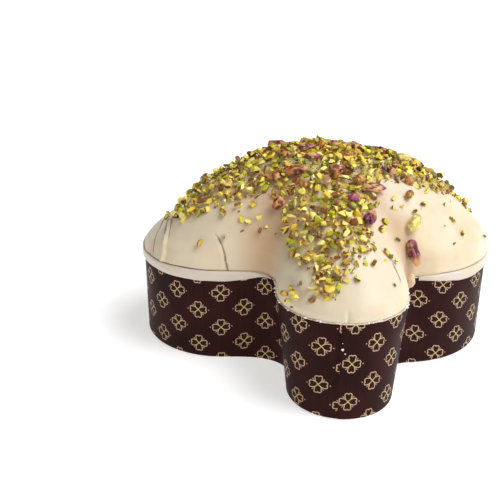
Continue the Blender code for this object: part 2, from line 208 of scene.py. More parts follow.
class GlazeLook(bpy.types.PropertyGroup):
    """The white chocolate glaze."""

    cream: colour_of("Cream", "Colour of the glaze", ink(226, 212, 187))
    warm: colour_of("Warm cream", "Colour of the glaze where it is thin", ink(222, 196, 154))
    # Painted shade: a darker, warmer colour in the valleys where the lobes meet, standing in for the shade
    # there
    valley_shade: colour_of("Hollows", "Colour of the glaze in the valleys between the lobes", ink(188, 146, 104))
    # Painted shade: this dark brown stands in for the shade in the gap along the lip and, in part, in the
    # creases
    crease_and_gap_shade: colour_of("Crease", "Colour in the creases and in the gap along the lip", ink(84, 56, 34))
    lip: colour_of("Lip", "Colour of the glaze that ran over the rim", ink(220, 204, 194))
    drop: colour_of("Drops", "Colour of the drops of glaze on the case", ink(255, 240, 232))
    toffee: colour_of("Toffee", "Colour of the lump of glaze that has turned brown", ink(226, 194, 166))
    # Partly painted shade: the tan stands for nut dust on the glaze and for the shade between the piled
    # pieces
    dust_and_shade: colour_of("Dust", "Colour of the glaze where chopped nuts lie thick on it", ink(220, 188, 112))
    crust: colour_of("Crust", "Colour of the baked crust", ink(120, 70, 32))
    crumb: colour_of("Crumb", "Colour of the crumb", ink(240, 200, 90))
    spokes: count_of("Spokes", "Divisions round the glaze", 880)


class NutLook(bpy.types.PropertyGroup):
    """The chopped and whole pistachios."""

    chips: count_of("Chips", "How many pieces are drawn at random", 6800)
    crumbs: count_of("Crumbs", "How many fine crumbs are drawn at random", 6500)
    longest: length_of("Longest chip", "Length of the longest chopped pieces", 0.0057)
    shortest: length_of("Shortest chip", "Length of the shortest chopped pieces", 0.0021)
    yellow: colour_of("Yellow", "Colour of the inside of a kernel", ink(255, 222, 84))
    pale: colour_of("Pale", "Colour of the palest cut faces", ink(255, 244, 140))
    green: colour_of("Green", "Colour of the kernel under its skin", ink(214, 208, 40))
    dark: colour_of("Dark green", "Colour of the greenest pieces", ink(116, 122, 16))
    husk: colour_of("Husk", "Colour of the skin on large pieces", ink(196, 122, 70))
    # Painted shade: the dark colour that the undersides and one side of the chopped pieces take, and that
    # also mottles their skin
    shade_and_mottle: colour_of("Oily", "Colour of a chopped piece underneath", ink(58, 38, 8))
    skin: colour_of("Skin", "Colour of the skin on chopped pieces", ink(146, 82, 34))


class StageLook(bpy.types.PropertyGroup):
    """The floor, the lights and the camera."""

    floor: colour_of("Floor", "Colour of the floor", (0.78, 0.78, 0.78))
    glow: amount_of("Floor's own light", "How much the floor shines near the cake", 0.60)
    around: amount_of("Light around", "Strength of the light from all round", 0.03)
    key: power_of("Key", "Power of the key light", 7.0)
    fill: power_of("Fill", "Power of the warm light from the front", 1.1)
    above: power_of("Above", "Power of the light above", 13.8)
    eye: bpy.props.FloatVectorProperty(
        name="Camera", description="Place of the camera", default=(-0.04075, -0.45, 0.2195), size=3,
        subtype="TRANSLATION", unit="LENGTH",
    )
    tilt: bpy.props.FloatProperty(
        name="Tilt", description="How far the camera looks down", default=math.radians(22.1),
        unit="ROTATION",
    )
    lens: amount_of("Lens", "Focal length, for a sensor 36 mm wide", 50.4)


# The form of the cake, as the solids have it


def lobes(cake):
    """Each lobe of the rim as its inner point, outer point, inner radius and outer radius."""
    head, left, right = cake.head_width / 2, cake.left_wing / 2, cake.right_wing / 2
    waist, tail = cake.waist / 2, cake.tail / 2
    half_span = cake.span / 2 - cake.gap - cake.lip
    tail_end = cake.length / 2 - cake.gap - cake.lip
    centre = (0.0, cake.wings_back)
    return (
        ((cake.head_x, cake.wings_back), (cake.head_x, head - cake.length / 2), head, head),
        (centre, (left - half_span, cake.wings_back), left, left),
        (centre, (half_span - right, cake.wings_back), right, right),
        (centre, (0.0, tail_end - tail), waist, tail),
    )


def beyond(x, y, first, last, first_radius, last_radius):
    """How far points lie outside a bar with round ends, below 0 inside it."""
    along_x, along_y = last[0] - first[0], last[1] - first[1]
    share = ((x - first[0]) * along_x + (y - first[1]) * along_y) / (along_x**2 + along_y**2)
    share = np.clip(share, 0, 1)
    radius = first_radius + (last_radius - first_radius) * share
    return np.hypot(x - first[0] - along_x * share, y - first[1] - along_y * share) - radius


def smooth_step(share):
    """0 to 1 with soft ends."""
    share = np.clip(share, 0, 1)
    return share * share * (3 - 2 * share)


class Outline:
    """The rim seen from above: how far a point is outside it, and directions that share it evenly."""

    MIDDLE = (0.004, -0.028)
    FINE = 2880
    BISECTIONS = 34
    STEP = 0.0005

    def __init__(self, cake):
        self.cake = cake
        self.bars = lobes(cake)

    def outside_by(self, x, y):
        """How far a point lies outside the rim, below 0 inside it."""
        distance = None
        for bar in self.bars:
            lobe = beyond(x, y, *bar)
            if distance is None:
                distance = lobe
                continue
            corner = self.cake.corner
            blend = np.maximum(corner - np.abs(distance - lobe), 0) / corner
            distance = np.minimum(distance, lobe) - blend**2 * corner / 4
        return distance

    def valley(self, x, y, width=0.013, reach=0.032):
        """1 where two lobes meet at the rim, and 0 far from there."""
        near = np.sort([beyond(x, y, *bar) for bar in self.bars], axis=0)
        return np.exp(-(((near[1] - near[0]) / width) ** 2) - (near[0] / reach) ** 2)

    def spread(self, first, last, count):
        """Directions from the middle that share the rim evenly."""
        fine = np.linspace(first, last, self.FINE)
        run = np.concatenate([[0], np.cumsum(np.hypot(*np.diff(Rim(self, fine).points, axis=0).T))])
        return np.interp(np.linspace(0, run[-1], count), run, fine)


class Rim:
    """Points on the rim, one for each direction from the middle, and the way out of the wall there."""

    LIP_STARTS = math.radians(-50)
    LIP_ENDS = math.radians(242)
    LIP_TAPER = math.radians(14)

    def __init__(self, outline, angles):
        cake, outside_by, step = outline.cake, outline.outside_by, outline.STEP
        self.cake, self.angles = cake, angles
        across, along = np.cos(angles), np.sin(angles)
        near, far = np.zeros_like(angles), np.full_like(angles, cake.length)
        for _ in range(outline.BISECTIONS):
            half = (near + far) / 2
            inside = outside_by(outline.MIDDLE[0] + across * half, outline.MIDDLE[1] + along * half) < 0
            near, far = np.where(inside, half, near), np.where(inside, far, half)
        x, y = outline.MIDDLE[0] + across * near, outline.MIDDLE[1] + along * near
        out_x = outside_by(x + step, y) - outside_by(x - step, y)
        out_y = outside_by(x, y + step) - outside_by(x, y - step)
        self.points = np.column_stack([x, y])
        self.out = np.column_stack([out_x, out_y]) / np.hypot(out_x, out_y)[:, None]
        at_head = np.clip((cake.head_reach - np.abs(x - cake.head_x)) / cake.head_fade, 0, 1)
        self.lean = cake.head_lean * (1 - np.abs(self.out[:, 1])) * at_head * (y < cake.wings_back)

    def run(self):
        """How far along the rim each point lies from the first."""
        return np.concatenate([[0], np.cumsum(np.hypot(*np.diff(self.points, axis=0).T))])

    def ring(self, inset, height):
        """The rim moved in by the inset, and by the head's lean where it is below the rim."""
        move = inset + self.lean * np.maximum(1 - height / self.cake.wall, 0)
        flat = self.points - self.out * np.reshape(move, (-1, 1))
        return np.column_stack([flat, np.broadcast_to(height, len(flat))])

    def from_lip_end(self):
        """How far each direction is inside the lip, in its tapers."""
        return np.minimum(self.angles - self.LIP_STARTS, self.LIP_ENDS - self.angles) / self.LIP_TAPER

    def foot(self):
        """How far inside the rim the foot of the glaze stands: against the paper, or clear of the lip."""
        cake = self.cake
        lipped = smooth_step(self.from_lip_end() + 1)
        return cake.paper + cake.gap + (cake.lip_reach + cake.lip_clearance - cake.gap) * lipped


class Dome:
    """The top of the glaze: an arch over the cake, with shoulders like a film blown up over the rim."""

    STEP = 0.0011
    ROUNDS = 1800
    MARGIN = 10
    NEAR_RIM = 0.004

    def __init__(self, outline):
        self.cake, self.outline = outline.cake, outline
        half, step = self.cake.length / 2, self.STEP
        self.count = int(2 * half / step) + 2
        places = np.arange(self.count) * step - half
        x, y = np.meshgrid(places, places, indexing="ij")
        depth = np.maximum(-outline.outside_by(x, y), 0)
        inside = depth[1:-1, 1:-1] > 0
        film = self.cake.shoulder**2 * (1 - np.exp(-depth / self.cake.shoulder))
        sag = 4 + (step / self.cake.shoulder) ** 2
        for _ in range(self.ROUNDS):
            around = film[:-2, 1:-1] + film[2:, 1:-1] + film[1:-1, :-2] + film[1:-1, 2:]
            film[1:-1, 1:-1] = np.where(inside, (around + step**2) / sag, 0)
        known = depth > step
        ratio = np.where(known, film / np.maximum(depth, step), 0)
        for _ in range(self.MARGIN):
            total, found = np.zeros_like(film), np.zeros_like(film)
            for shift, axis in ((1, 0), (-1, 0), (1, 1), (-1, 1)):
                total += np.roll(ratio, shift, axis)
                found += np.roll(known, shift, axis)
            fresh = ~known & (found > 0)
            ratio = np.where(fresh, total / np.maximum(found, 1), ratio)
            known = known | fresh
        self.film, self.ratio = film, ratio

    def shoulder(self, x, y):
        """0 at the rim, and nearly 1 in the middle of each lobe."""
        last = self.count - 1.001
        across = np.clip((x + self.cake.length / 2) / self.STEP, 0, last)
        along = np.clip((y + self.cake.length / 2) / self.STEP, 0, last)
        i, j = across.astype(int), along.astype(int)
        s, t = across - i, along - j

        def between(table):
            near = (1 - t) * table[i, j] + t * table[i, j + 1]
            far = (1 - t) * table[i + 1, j] + t * table[i + 1, j + 1]
            return (1 - s) * near + s * far

        depth = np.maximum(-self.outline.outside_by(x, y), 0)
        inner = smooth_step(depth / self.NEAR_RIM - 1)
        film = inner * between(self.film) + (1 - inner) * between(self.ratio) * depth
        return (np.maximum(film, 0) / self.cake.shoulder**2) ** self.cake.fullness

    def height(self, x, y):
        """How high the top of the glaze stands over the floor."""
        cake = self.cake
        across, along = x - Outline.MIDDLE[0], y - Outline.MIDDLE[1]
        drop = np.where(across < 0, cake.left_drop, cake.right_drop)
        arch = cake.rise - drop * (np.abs(across) / (cake.span / 2)) ** cake.arch_bend
        half_height = np.where(along < 0, cake.half_to_head, cake.half_to_tail)
        arch = arch / (1 + (along / half_height) ** 2)
        turn = 2 * math.pi / cake.lump_length
        lumps = np.sin(turn * (x + 0.4 * y)) + np.sin(turn * (0.8 * y - 0.5 * x) + 1.0)
        return cake.wall + self.shoulder(x, y) * (arch + cake.lump_height * lumps)

    def normal(self, x, y):
        """The direction straight out of the glaze, as rows of three."""
        step = self.outline.STEP
        rise_x = (self.height(x + step, y) - self.height(x - step, y)) / (2 * step)
        rise_y = (self.height(x, y + step) - self.height(x, y - step)) / (2 * step)
        size = np.sqrt(rise_x**2 + rise_y**2 + 1)
        return np.column_stack([-rise_x / size, -rise_y / size, 1 / size])


# Meshes


def ripple(points, length, seed=0.0):
    """Smooth noise, from about -1 to 1, that changes over the given length."""
    shift = Vector((seed * 7.1, seed * 3.7, seed))
    return np.array([noise.noise(Vector(point).to_3d() / length + shift) for point in points])


def waves(points, kind):
    """Soft relief of one kind, which is given by its length, seed and height."""
    length, seed, height = kind
    return ripple(points, length, seed) * height


def mesh_of(work, name):
    """The finished mesh of a piece that was being worked on."""
    mesh = bpy.data.meshes.new(name)
    work.to_mesh(mesh)
    work.free()
    return mesh


def keep_numbers(mesh, label, numbers):
    """Has each point of a mesh keep a number for its finish."""
    layer = mesh.attributes.new(label, "FLOAT", "POINT")
    layer.data.foreach_set("value", numbers.astype(np.float32))


def from_solid(node):
    """A copy of a solid's mesh to work on, with its loose triangles merged."""
    work = bmesh.new()
    work.from_mesh(frame["nodes"][node].data)
    bmesh.ops.remove_doubles(work, verts=work.verts[:], dist=ONE_IN_SOLID)
    return work


def woven(name, rings, around=None, up=None, kinds=None, values=None):
    """A closed surface through rings with the same number of points, the last of them back at the first.

    around and up give each point's place on the surface's UV map, kinds the material of each strip
    between two rings, and values hold numbers that each point keeps for its finish.
    """
    count, rows = len(rings[0]), len(rings)
    work = bmesh.new()
    bmesh.ops.create_grid(work, x_segments=count - 1, y_segments=rows - 1, size=1, calc_uvs=True)
    mesh = mesh_of(work, name)
    mesh.vertices.foreach_set("co", np.concatenate(rings).astype(np.float32).ravel())
    corner = np.empty(len(mesh.loops), np.int32)
    mesh.loops.foreach_get("vertex_index", corner)
    if around is not None:
        places = np.column_stack([np.concatenate(around), np.concatenate(up)])[corner]
        layer = mesh.uv_layers[0] if mesh.uv_layers else mesh.uv_layers.new(name="UVMap")
        layer.data.foreach_set("uv", places.astype(np.float32).ravel())
    if kinds is not None:
        starts = np.empty(len(mesh.polygons), np.int32)
        mesh.polygons.foreach_get("loop_start", starts)
        lowest = np.minimum.reduceat(corner, starts) // count
        mesh.polygons.foreach_set("material_index", np.asarray(kinds, np.int32)[lowest])
    for label, numbers in (values or {}).items():
        keep_numbers(mesh, label, np.concatenate(numbers))
    work = bmesh.new()
    work.from_mesh(mesh)
    bmesh.ops.remove_doubles(work, verts=work.verts[:], dist=ONE_IN_WEAVE)
    bmesh.ops.recalc_face_normals(work, faces=work.faces[:])
    work.to_mesh(mesh)
    work.free()
    return mesh


def tree_of(pieces):
    """The surfaces of some pieces, as a tree that rays are cast at."""
    work = bmesh.new()
    for piece in pieces:
        work.from_mesh(piece.data)
    tree = BVHTree.FromBMesh(work)
    work.free()
    return tree


def add_piece(name, mesh, finishes, replaced=(), sharp=40):
    """An object at the origin for a finished mesh, which rides on the cake and may stand for solids."""
    for finish in finishes:
        mesh.materials.append(finish)
    mesh.shade_smooth()
    if sharp:
        mesh.set_sharp_from_angle(angle=math.radians(sharp))
    piece = bpy.data.objects.new(name, mesh)
    bpy.context.scene.collection.objects.link(piece)
    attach(piece, BODY)
    if replaced:
        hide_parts(*replaced)
    return piece


# Finishes


class Value:
    """A socket in a finish, which sums can be written with."""

    def __init__(self, finish, socket):
        self.finish, self.socket = finish, socket

    def sum(self, operation, *values):
        """One Math node on this value and others."""
        return self.finish.add("ShaderNodeMath", {"operation": operation}, dict(enumerate(values)))

    def __add__(self, other):
        return self.sum("ADD", self, other)

    def __radd__(self, other):
        return self.sum("ADD", other, self)

    def __sub__(self, other):
        return self.sum("SUBTRACT", self, other)

    def __rsub__(self, other):
        return self.sum("SUBTRACT", other, self)

    def __mul__(self, other):
        return self.sum("MULTIPLY", self, other)

    def __rmul__(self, other):
        return self.sum("MULTIPLY", other, self)

    def __truediv__(self, other):
        return self.sum("DIVIDE", self, other)

    def __rtruediv__(self, other):
        return self.sum("DIVIDE", other, self)

    def __mod__(self, other):
        return self.sum("FLOORED_MODULO", self, other)

    def __abs__(self):
        return self.sum("ABSOLUTE", self)

    def root(self):
        return self.sum("SQRT", self)

    def rounded(self):
        return self.sum("ROUND", self)

    def least(self, other):
        return self.sum("MINIMUM", self, other)

    def most(self, other):
        return self.sum("MAXIMUM", self, other)

    def below(self, other):
        return self.sum("LESS_THAN", self, other)

    def ease(self, low, high):
        """0 below low, 1 above high, and smooth between."""
        smooth = {"interpolation_type": "SMOOTHSTEP"}
        limits = {"Value": self, "From Min": low, "From Max": high}
        return self.finish.add("ShaderNodeMapRange", smooth, limits)

    def held(self):
        """Kept between 0 and 1."""
        return self.most(0.0).least(1.0)


class Finish:
    """A material: its node tree, its Principled shader and what feeds that."""

    def __init__(self, name, roughness=0.5, **fixed):
        self.material = bpy.data.materials.new(name)
        self.material.use_nodes = True
        self.tree = self.material.node_tree
        self.shader = self.tree.nodes["Principled BSDF"]
        self.feed("Roughness", roughness)
        for socket, value in fixed.items():
            self.feed(socket.replace("_", " "), value)

    def add(self, kind, settings=None, values=None, output=0):
        """A node of any kind, as the value of one of its outputs."""
        node = self.tree.nodes.new(kind)
        for name, setting in (settings or {}).items():
            setattr(node, name, setting)
        for key, value in (values or {}).items():
            self.join(node.inputs[key], value)
        return Value(self, node.outputs[output])

    def join(self, socket, value):
        """Links a value to a socket, or sets the socket to a number or a colour."""
        if isinstance(value, Value):
            self.tree.links.new(value.socket, socket)
        elif socket.type == "RGBA" and len(value) == 3:
            socket.default_value = (*value, 1.0)
        else:
            socket.default_value = value

    def feed(self, socket, value):
        """Feeds one of the shader's own sockets."""
        self.join(self.shader.inputs[socket], value)

    def place(self):
        """Where a point is on the piece, in metres."""
        return self.add("ShaderNodeTexCoord", output="Object")

    def on_map(self):
        """Where a point is on the piece's UV map, as two values."""
        return self.parts(self.add("ShaderNodeTexCoord", output="UV"))

    def across_and_along(self):
        """Where a point is on the piece, seen from above, as two values."""
        return self.parts(self.place())

    def parts(self, place):
        """The first two numbers of a place."""
        return (self.add("ShaderNodeSeparateXYZ", values={0: place}, output=axis) for axis in "XY")

    def kept(self, label):
        """A number that the mesh keeps at each point or face."""
        return self.add("ShaderNodeAttribute", {"attribute_name": label}, output="Fac")

    def stretched(self, scale):
        """Where a point is, scaled along each axis."""
        scaled = {0: self.place(), 1: scale}
        return self.add("ShaderNodeVectorMath", {"operation": "MULTIPLY"}, scaled)

    def noise(self, size, detail=2.0, roughness=0.5, at=None):
        """Noise from about 0 to 1 with spots of the given size."""
        values = {"Vector": at or self.place(), "Scale": 1 / size, "Detail": detail, "Roughness": roughness}
        return self.add("ShaderNodeTexNoise", values=values)

    def mix(self, share, first, second):
        """A colour between two others."""
        return self.add("ShaderNodeMix", {"data_type": "RGBA"}, {0: share, 6: first, 7: second}, output=2)

    def bump(self, height, distance, strength):
        """Fine relief in the shading: a height from 0 to 1, and how much height 1 stands for."""
        values = {"Height": height, "Distance": distance, "Strength": strength}
        self.feed("Normal", self.add("ShaderNodeBump", values=values))


# A printed clover, in shares of the length from its middle to the tip of a leaf. Half a leaf is a bar
# with round ends, from its belly to the lobe at its tip: how far along, how far aside, and the radius.
BELLY = (0.47, 0.11, 0.255)
LOBE = (0.79, 0.20, 0.20)
CLEFT = 0.06
# The short stroke between two leaves: where it fades in and out, and its half width
STROKE_STARTS = (0.66, 0.70)
STROKE_ENDS = (0.90, 0.95)
STROKE_EDGE = (0.030, 0.060)
# The dots on both sides of a clover, and how far the colour of its middle reaches
DOT_AWAY = 1.26
DOT_EDGE = (0.055, 0.095)
MIDDLE_FADES = (0.30, 0.75)


def clovers(finish, look):
    """The printed lines, the insides of the leaves, and how near to a clover's middle a point is.

    Four-leaved clovers stand in staggered columns, with a dot on both sides of each.
    """
    across, up = finish.on_map()
    column = (across / look.column).rounded()
    x = abs(across - column * look.column)
    from_first = up - look.first_row - (column % 2) * (look.row / 2)
    y = abs(from_first - (from_first / look.row).rounded() * look.row)
    p, q = x.most(y), x.least(y)

    def faded(value, edge):
        return value.ease(edge[0] * look.clover, edge[1] * look.clover)

    belly_p, belly_q, belly = (share * look.clover for share in BELLY)
    lobe_p, lobe_q, lobe = (share * look.clover for share in LOBE)
    share = ((p - belly_p) / (lobe_p - belly_p)).held()
    off_p = p - share * (lobe_p - belly_p) - belly_p
    off_q = (q * q + (CLEFT * look.clover) ** 2).root() - share * (lobe_q - belly_q) - belly_q
    from_leaf = (off_p * off_p + off_q * off_q).root() - (belly + share * (lobe - belly))
    # Towards the clover's middle the leaf's sides are straight, and meet the belly as tangents
    to_belly = math.hypot(belly_p, belly_q)
    slope = math.atan2(belly_q, belly_p) + math.asin(belly / to_belly)
    from_side = q * math.cos(slope) - p * math.sin(slope)
    tangent = math.sqrt(to_belly**2 - belly**2)
    near_tip = (p * math.cos(slope) + q * math.sin(slope)).below(tangent)
    from_leaf = near_tip * from_side + (1 - near_tip) * from_leaf
    soft = look.stroke * 0.3
    line = 1 - abs(from_leaf).ease(look.stroke / 2 - soft, look.stroke / 2 + soft)

    diagonal, off_diagonal = (p + q) * math.sqrt(0.5), (p - q) * math.sqrt(0.5)
    between = faded(diagonal, STROKE_STARTS) * (1 - faded(diagonal, STROKE_ENDS))
    stroke = between * (1 - faded(off_diagonal, STROKE_EDGE))
    from_dot = (x - DOT_AWAY * look.clover) * (x - DOT_AWAY * look.clover) + y * y
    dot = 1 - faded(from_dot.root(), DOT_EDGE)
    inside = 1 - from_leaf.ease(-look.stroke, look.stroke / 2)
    near = 1 - faded(p, MIDDLE_FADES)
    return line.most(stroke * 0.8).most(dot * 0.75), inside, near


def paper_finish(look):
    """Thin dark card, streaked along its grain, with lines printed on it that have worn in places."""
    finish = Finish("printed_paper", Specular_IOR_Level=0.05)
    streaks = finish.noise(1.0, 3.0, at=finish.stretched((700.0, 700.0, 18.0)))
    patches = finish.noise(0.03, 3.0)
    ground = finish.mix((patches * 0.75 + streaks * 0.25).ease(0.36, 0.64), look.ground, look.shade)
    # Painted shadow beside the lap
    ground = finish.mix(finish.kept("seam") * 0.35, ground, look.seam)
    fibres = finish.noise(0.0006, 2.0)
    worn = 1 - finish.noise(0.0022, 3.0).ease(0.56, 0.74) * 0.45
    line, inside, near = clovers(finish, look)
    printed = line * worn
    ground = finish.mix(inside * 0.75, ground, look.inside)
    lines = finish.mix(near, look.rose, look.gold)
    finish.feed("Base Color", finish.mix(printed * 0.9, ground, lines))
    finish.feed("Roughness", 0.50 - printed * 0.10 + (patches - 0.5) * 0.16)
    finish.bump(streaks * 0.5 + fibres * 0.35 + printed * 0.15, 0.00012, 0.55)
    return finish.material


def plain_paper_finish(name, colour, second):
    """Unprinted paper, with spots of a second colour."""
    finish = Finish(name, 0.75)
    spots = finish.noise(0.003, 3.0)
    finish.feed("Base Color", finish.mix(spots.ease(0.35, 0.7), colour, second))
    finish.bump(finish.noise(0.0005), 0.0001, 0.4)
    return finish.material


def crease_lines(finish):
    """The brown lines in the creases, partly stains and partly painted shade, seen from above: near 1 in
    the middle of each.
    """
    x, y = finish.across_and_along()
    wander = (finish.noise(0.006, 2.0) - 0.5) * 0.0012
    ragged = finish.noise(0.0012, 2.0).ease(0.30, 0.62)
    lines = None
    for *sizes, stain in CREASES:
        if not stain:
            continue
        x0, y0, x1, y1, width = [size * MILLIMETRE for size in sizes[:5]]
        length = math.hypot(x1 - x0, y1 - y0)
        ahead_x, ahead_y = (x1 - x0) / length, (y1 - y0) / length
        along = (x - x0) * ahead_x + (y - y0) * ahead_y
        aside = abs((x - x0) * ahead_y - (y - y0) * ahead_x + wander)
        ends = along.ease(-0.002, 0.006) * (1 - along.ease(length - 0.001, length + 0.004))
        line = (1 - aside.ease(0.15 * width, 0.85 * width)) * ends * (ragged * 0.35 + 0.65) * stain
        lines = line if lines is None else lines.most(line)
    return lines


def glaze_finish(name, look, colour, creased):
    """Satin white chocolate: warmer where it is thin, brown in its creases as stains and painted shade,
    with painted shade in its valleys and lip gap, and nut dust and painted shade where nuts lie thick.
    """
    finish = Finish(
        name,
        Subsurface_Weight=0.22,
        Subsurface_Radius=(1.0, 0.50, 0.25),
        Subsurface_Scale=0.005,
        Specular_IOR_Level=0.40,
    )
    broad = finish.noise(0.028, 3.0, 0.6)
    colour = finish.mix(broad.ease(0.40, 0.75) * 0.7, colour, look.warm)
    if creased:
        # Painted shade in the valleys between the lobes
        colour = finish.mix(finish.kept("valley_shade") * 0.7, colour, look.valley_shade)
        # Nut dust and painted shade where the chopped nuts lie thick
        patchy = finish.noise(0.0045, 3.0, 0.6).ease(0.38, 0.58)
        colour = finish.mix(finish.kept("dust_and_shade") * patchy * 0.75, colour, look.dust_and_shade)
        # Painted shadow in the gap along the lip
        colour = finish.mix(finish.kept("crease_and_gap_shade"), colour, look.crease_and_gap_shade)
        # Brown lines in the creases: partly stains, partly painted shade
        colour = finish.mix(crease_lines(finish), colour, look.crease_and_gap_shade)
    finish.feed("Base Color", colour)
    finish.feed("Roughness", 0.42 + (broad - 0.5) * 0.15)
    skin = finish.noise(0.0035, 2.0) * 0.7 + finish.noise(0.0009, 2.0) * 0.3
    finish.bump(skin, 0.00022, 0.30)
    return finish.material


def crumb_finish(look):
    """Baked dough, full of pores: a browned crust with yellow crumb showing in patches."""
    finish = Finish("baked_crumb", 0.9)
    pores = finish.noise(0.0022, 4.0, 0.65)
    crust = finish.noise(0.012, 3.0).ease(0.3, 0.7)
    finish.feed("Base Color", finish.mix(crust * 0.6 + 0.4, look.crumb, look.crust))
    finish.bump(pores, 0.0012, 0.8)
    return finish.material


def chip_finish(name, colours, skin, shade_and_mottle):
    """A cut nut: one of three tones, grainy where it is cut, with dry skin on its outer side.

    It is darker underneath and towards one side, which is painted shade.
    """
    finish = Finish(name, 0.42, Specular_IOR_Level=0.5)
    tone = finish.kept("tone")
    grain = finish.noise(0.0011, 3.0, 0.6)
    shade = finish.kept("shade")
    spread = tone + (grain - 0.5) * 0.7
    flesh = finish.mix(spread.ease(0.0, 0.5), colours[0], colours[1])
    flesh = finish.mix(spread.ease(0.5, 1.0), flesh, colours[2])
    outside = finish.kept("skin") * finish.noise(0.0016, 2.0).ease(0.25, 0.5)
    wrinkled = finish.mix(finish.noise(0.0014, 3.0, 0.6).ease(0.46, 0.62) * 0.6, skin, shade_and_mottle)
    flesh = finish.mix(outside, flesh, wrinkled)
    specks = finish.noise(0.0013, 3.0, 0.7, at=finish.stretched((1.0, 1.0, 1.6))).ease(0.60, 0.72)
    flesh = finish.mix(specks * 0.4, flesh, skin)
    # Painted shade: darker underneath and towards one side
    finish.feed("Base Color", finish.mix((1 - shade.ease(-0.70, 0.20)) * 0.85, flesh, shade_and_mottle))
    finish.bump(grain * 0.6 + finish.noise(0.0004) * 0.4, 0.0003, 0.7)
    return finish.material


# The skin of each kind of kernel: its colour, the colour between its ribs, that of its end, and how much
# of its length that end takes
KERNEL_SKINS = {
    "red": (ink(186, 110, 62), ink(78, 30, 16), ink(214, 160, 88), 0.15),
    "purple": (ink(150, 48, 88), ink(62, 14, 34), ink(212, 162, 104), 0.32),
    "tan": (ink(216, 168, 108), ink(120, 66, 38), ink(158, 52, 96), 0.20),
    "green": (ink(246, 228, 142), ink(208, 186, 92), ink(190, 136, 82), 0.14),
}


def kernel_finish(kind):
    """The dry, ribbed skin of a whole kernel, with another colour at one end and where it is worn."""
    main_colour, valley, end_colour, end_share = KERNEL_SKINS[kind]
    finish = Finish(f"skin_{kind}", 0.38, Specular_IOR_Level=0.5)
    ribs = finish.kept("rib")
    blotch = finish.noise(0.0042, 3.0, 0.6)
    colour = finish.mix(ribs.ease(0.15, 0.75), main_colour, valley)
    colour = finish.mix(blotch.ease(0.46, 0.72) * 0.75, colour, end_colour)
    at_end = finish.kept("along") + (blotch - 0.5) * 0.4
    colour = finish.mix((1 - at_end.ease(end_share - 0.08, end_share + 0.12)) * 0.85, colour, end_colour)
    finish.feed("Base Color", colour)
    finish.bump(finish.noise(0.0007, 3.0), 0.0002, 0.6)
    return finish.material


# The pieces


# How the print lies along the wall, in millimetres: how far from the lap, and how far the print has moved
# on and up there. The first list goes round from the lap to the right, and the second comes back to it.
CREEP_RIGHT = (
    (0, 0, 0), (19, -1.8, -0.5), (31, -3, -1.9), (88, -1.3, -13.9),
    (103, 0, -18), (118, 1, -19.5), (133, 3, -21.5), (180, 2, -21.5),
)
CREEP_LEFT = (
    (-180, 3, -14), (-130, 2.4, -14), (-103, 2.4, -13.3), (-89, 2.4, -10.9), (-77, 1.2, -7),
    (-36, 0.8, -5.2), (-23, -0.4, -5), (-9, 0, -2.8), (0, 0, -2.8),
)


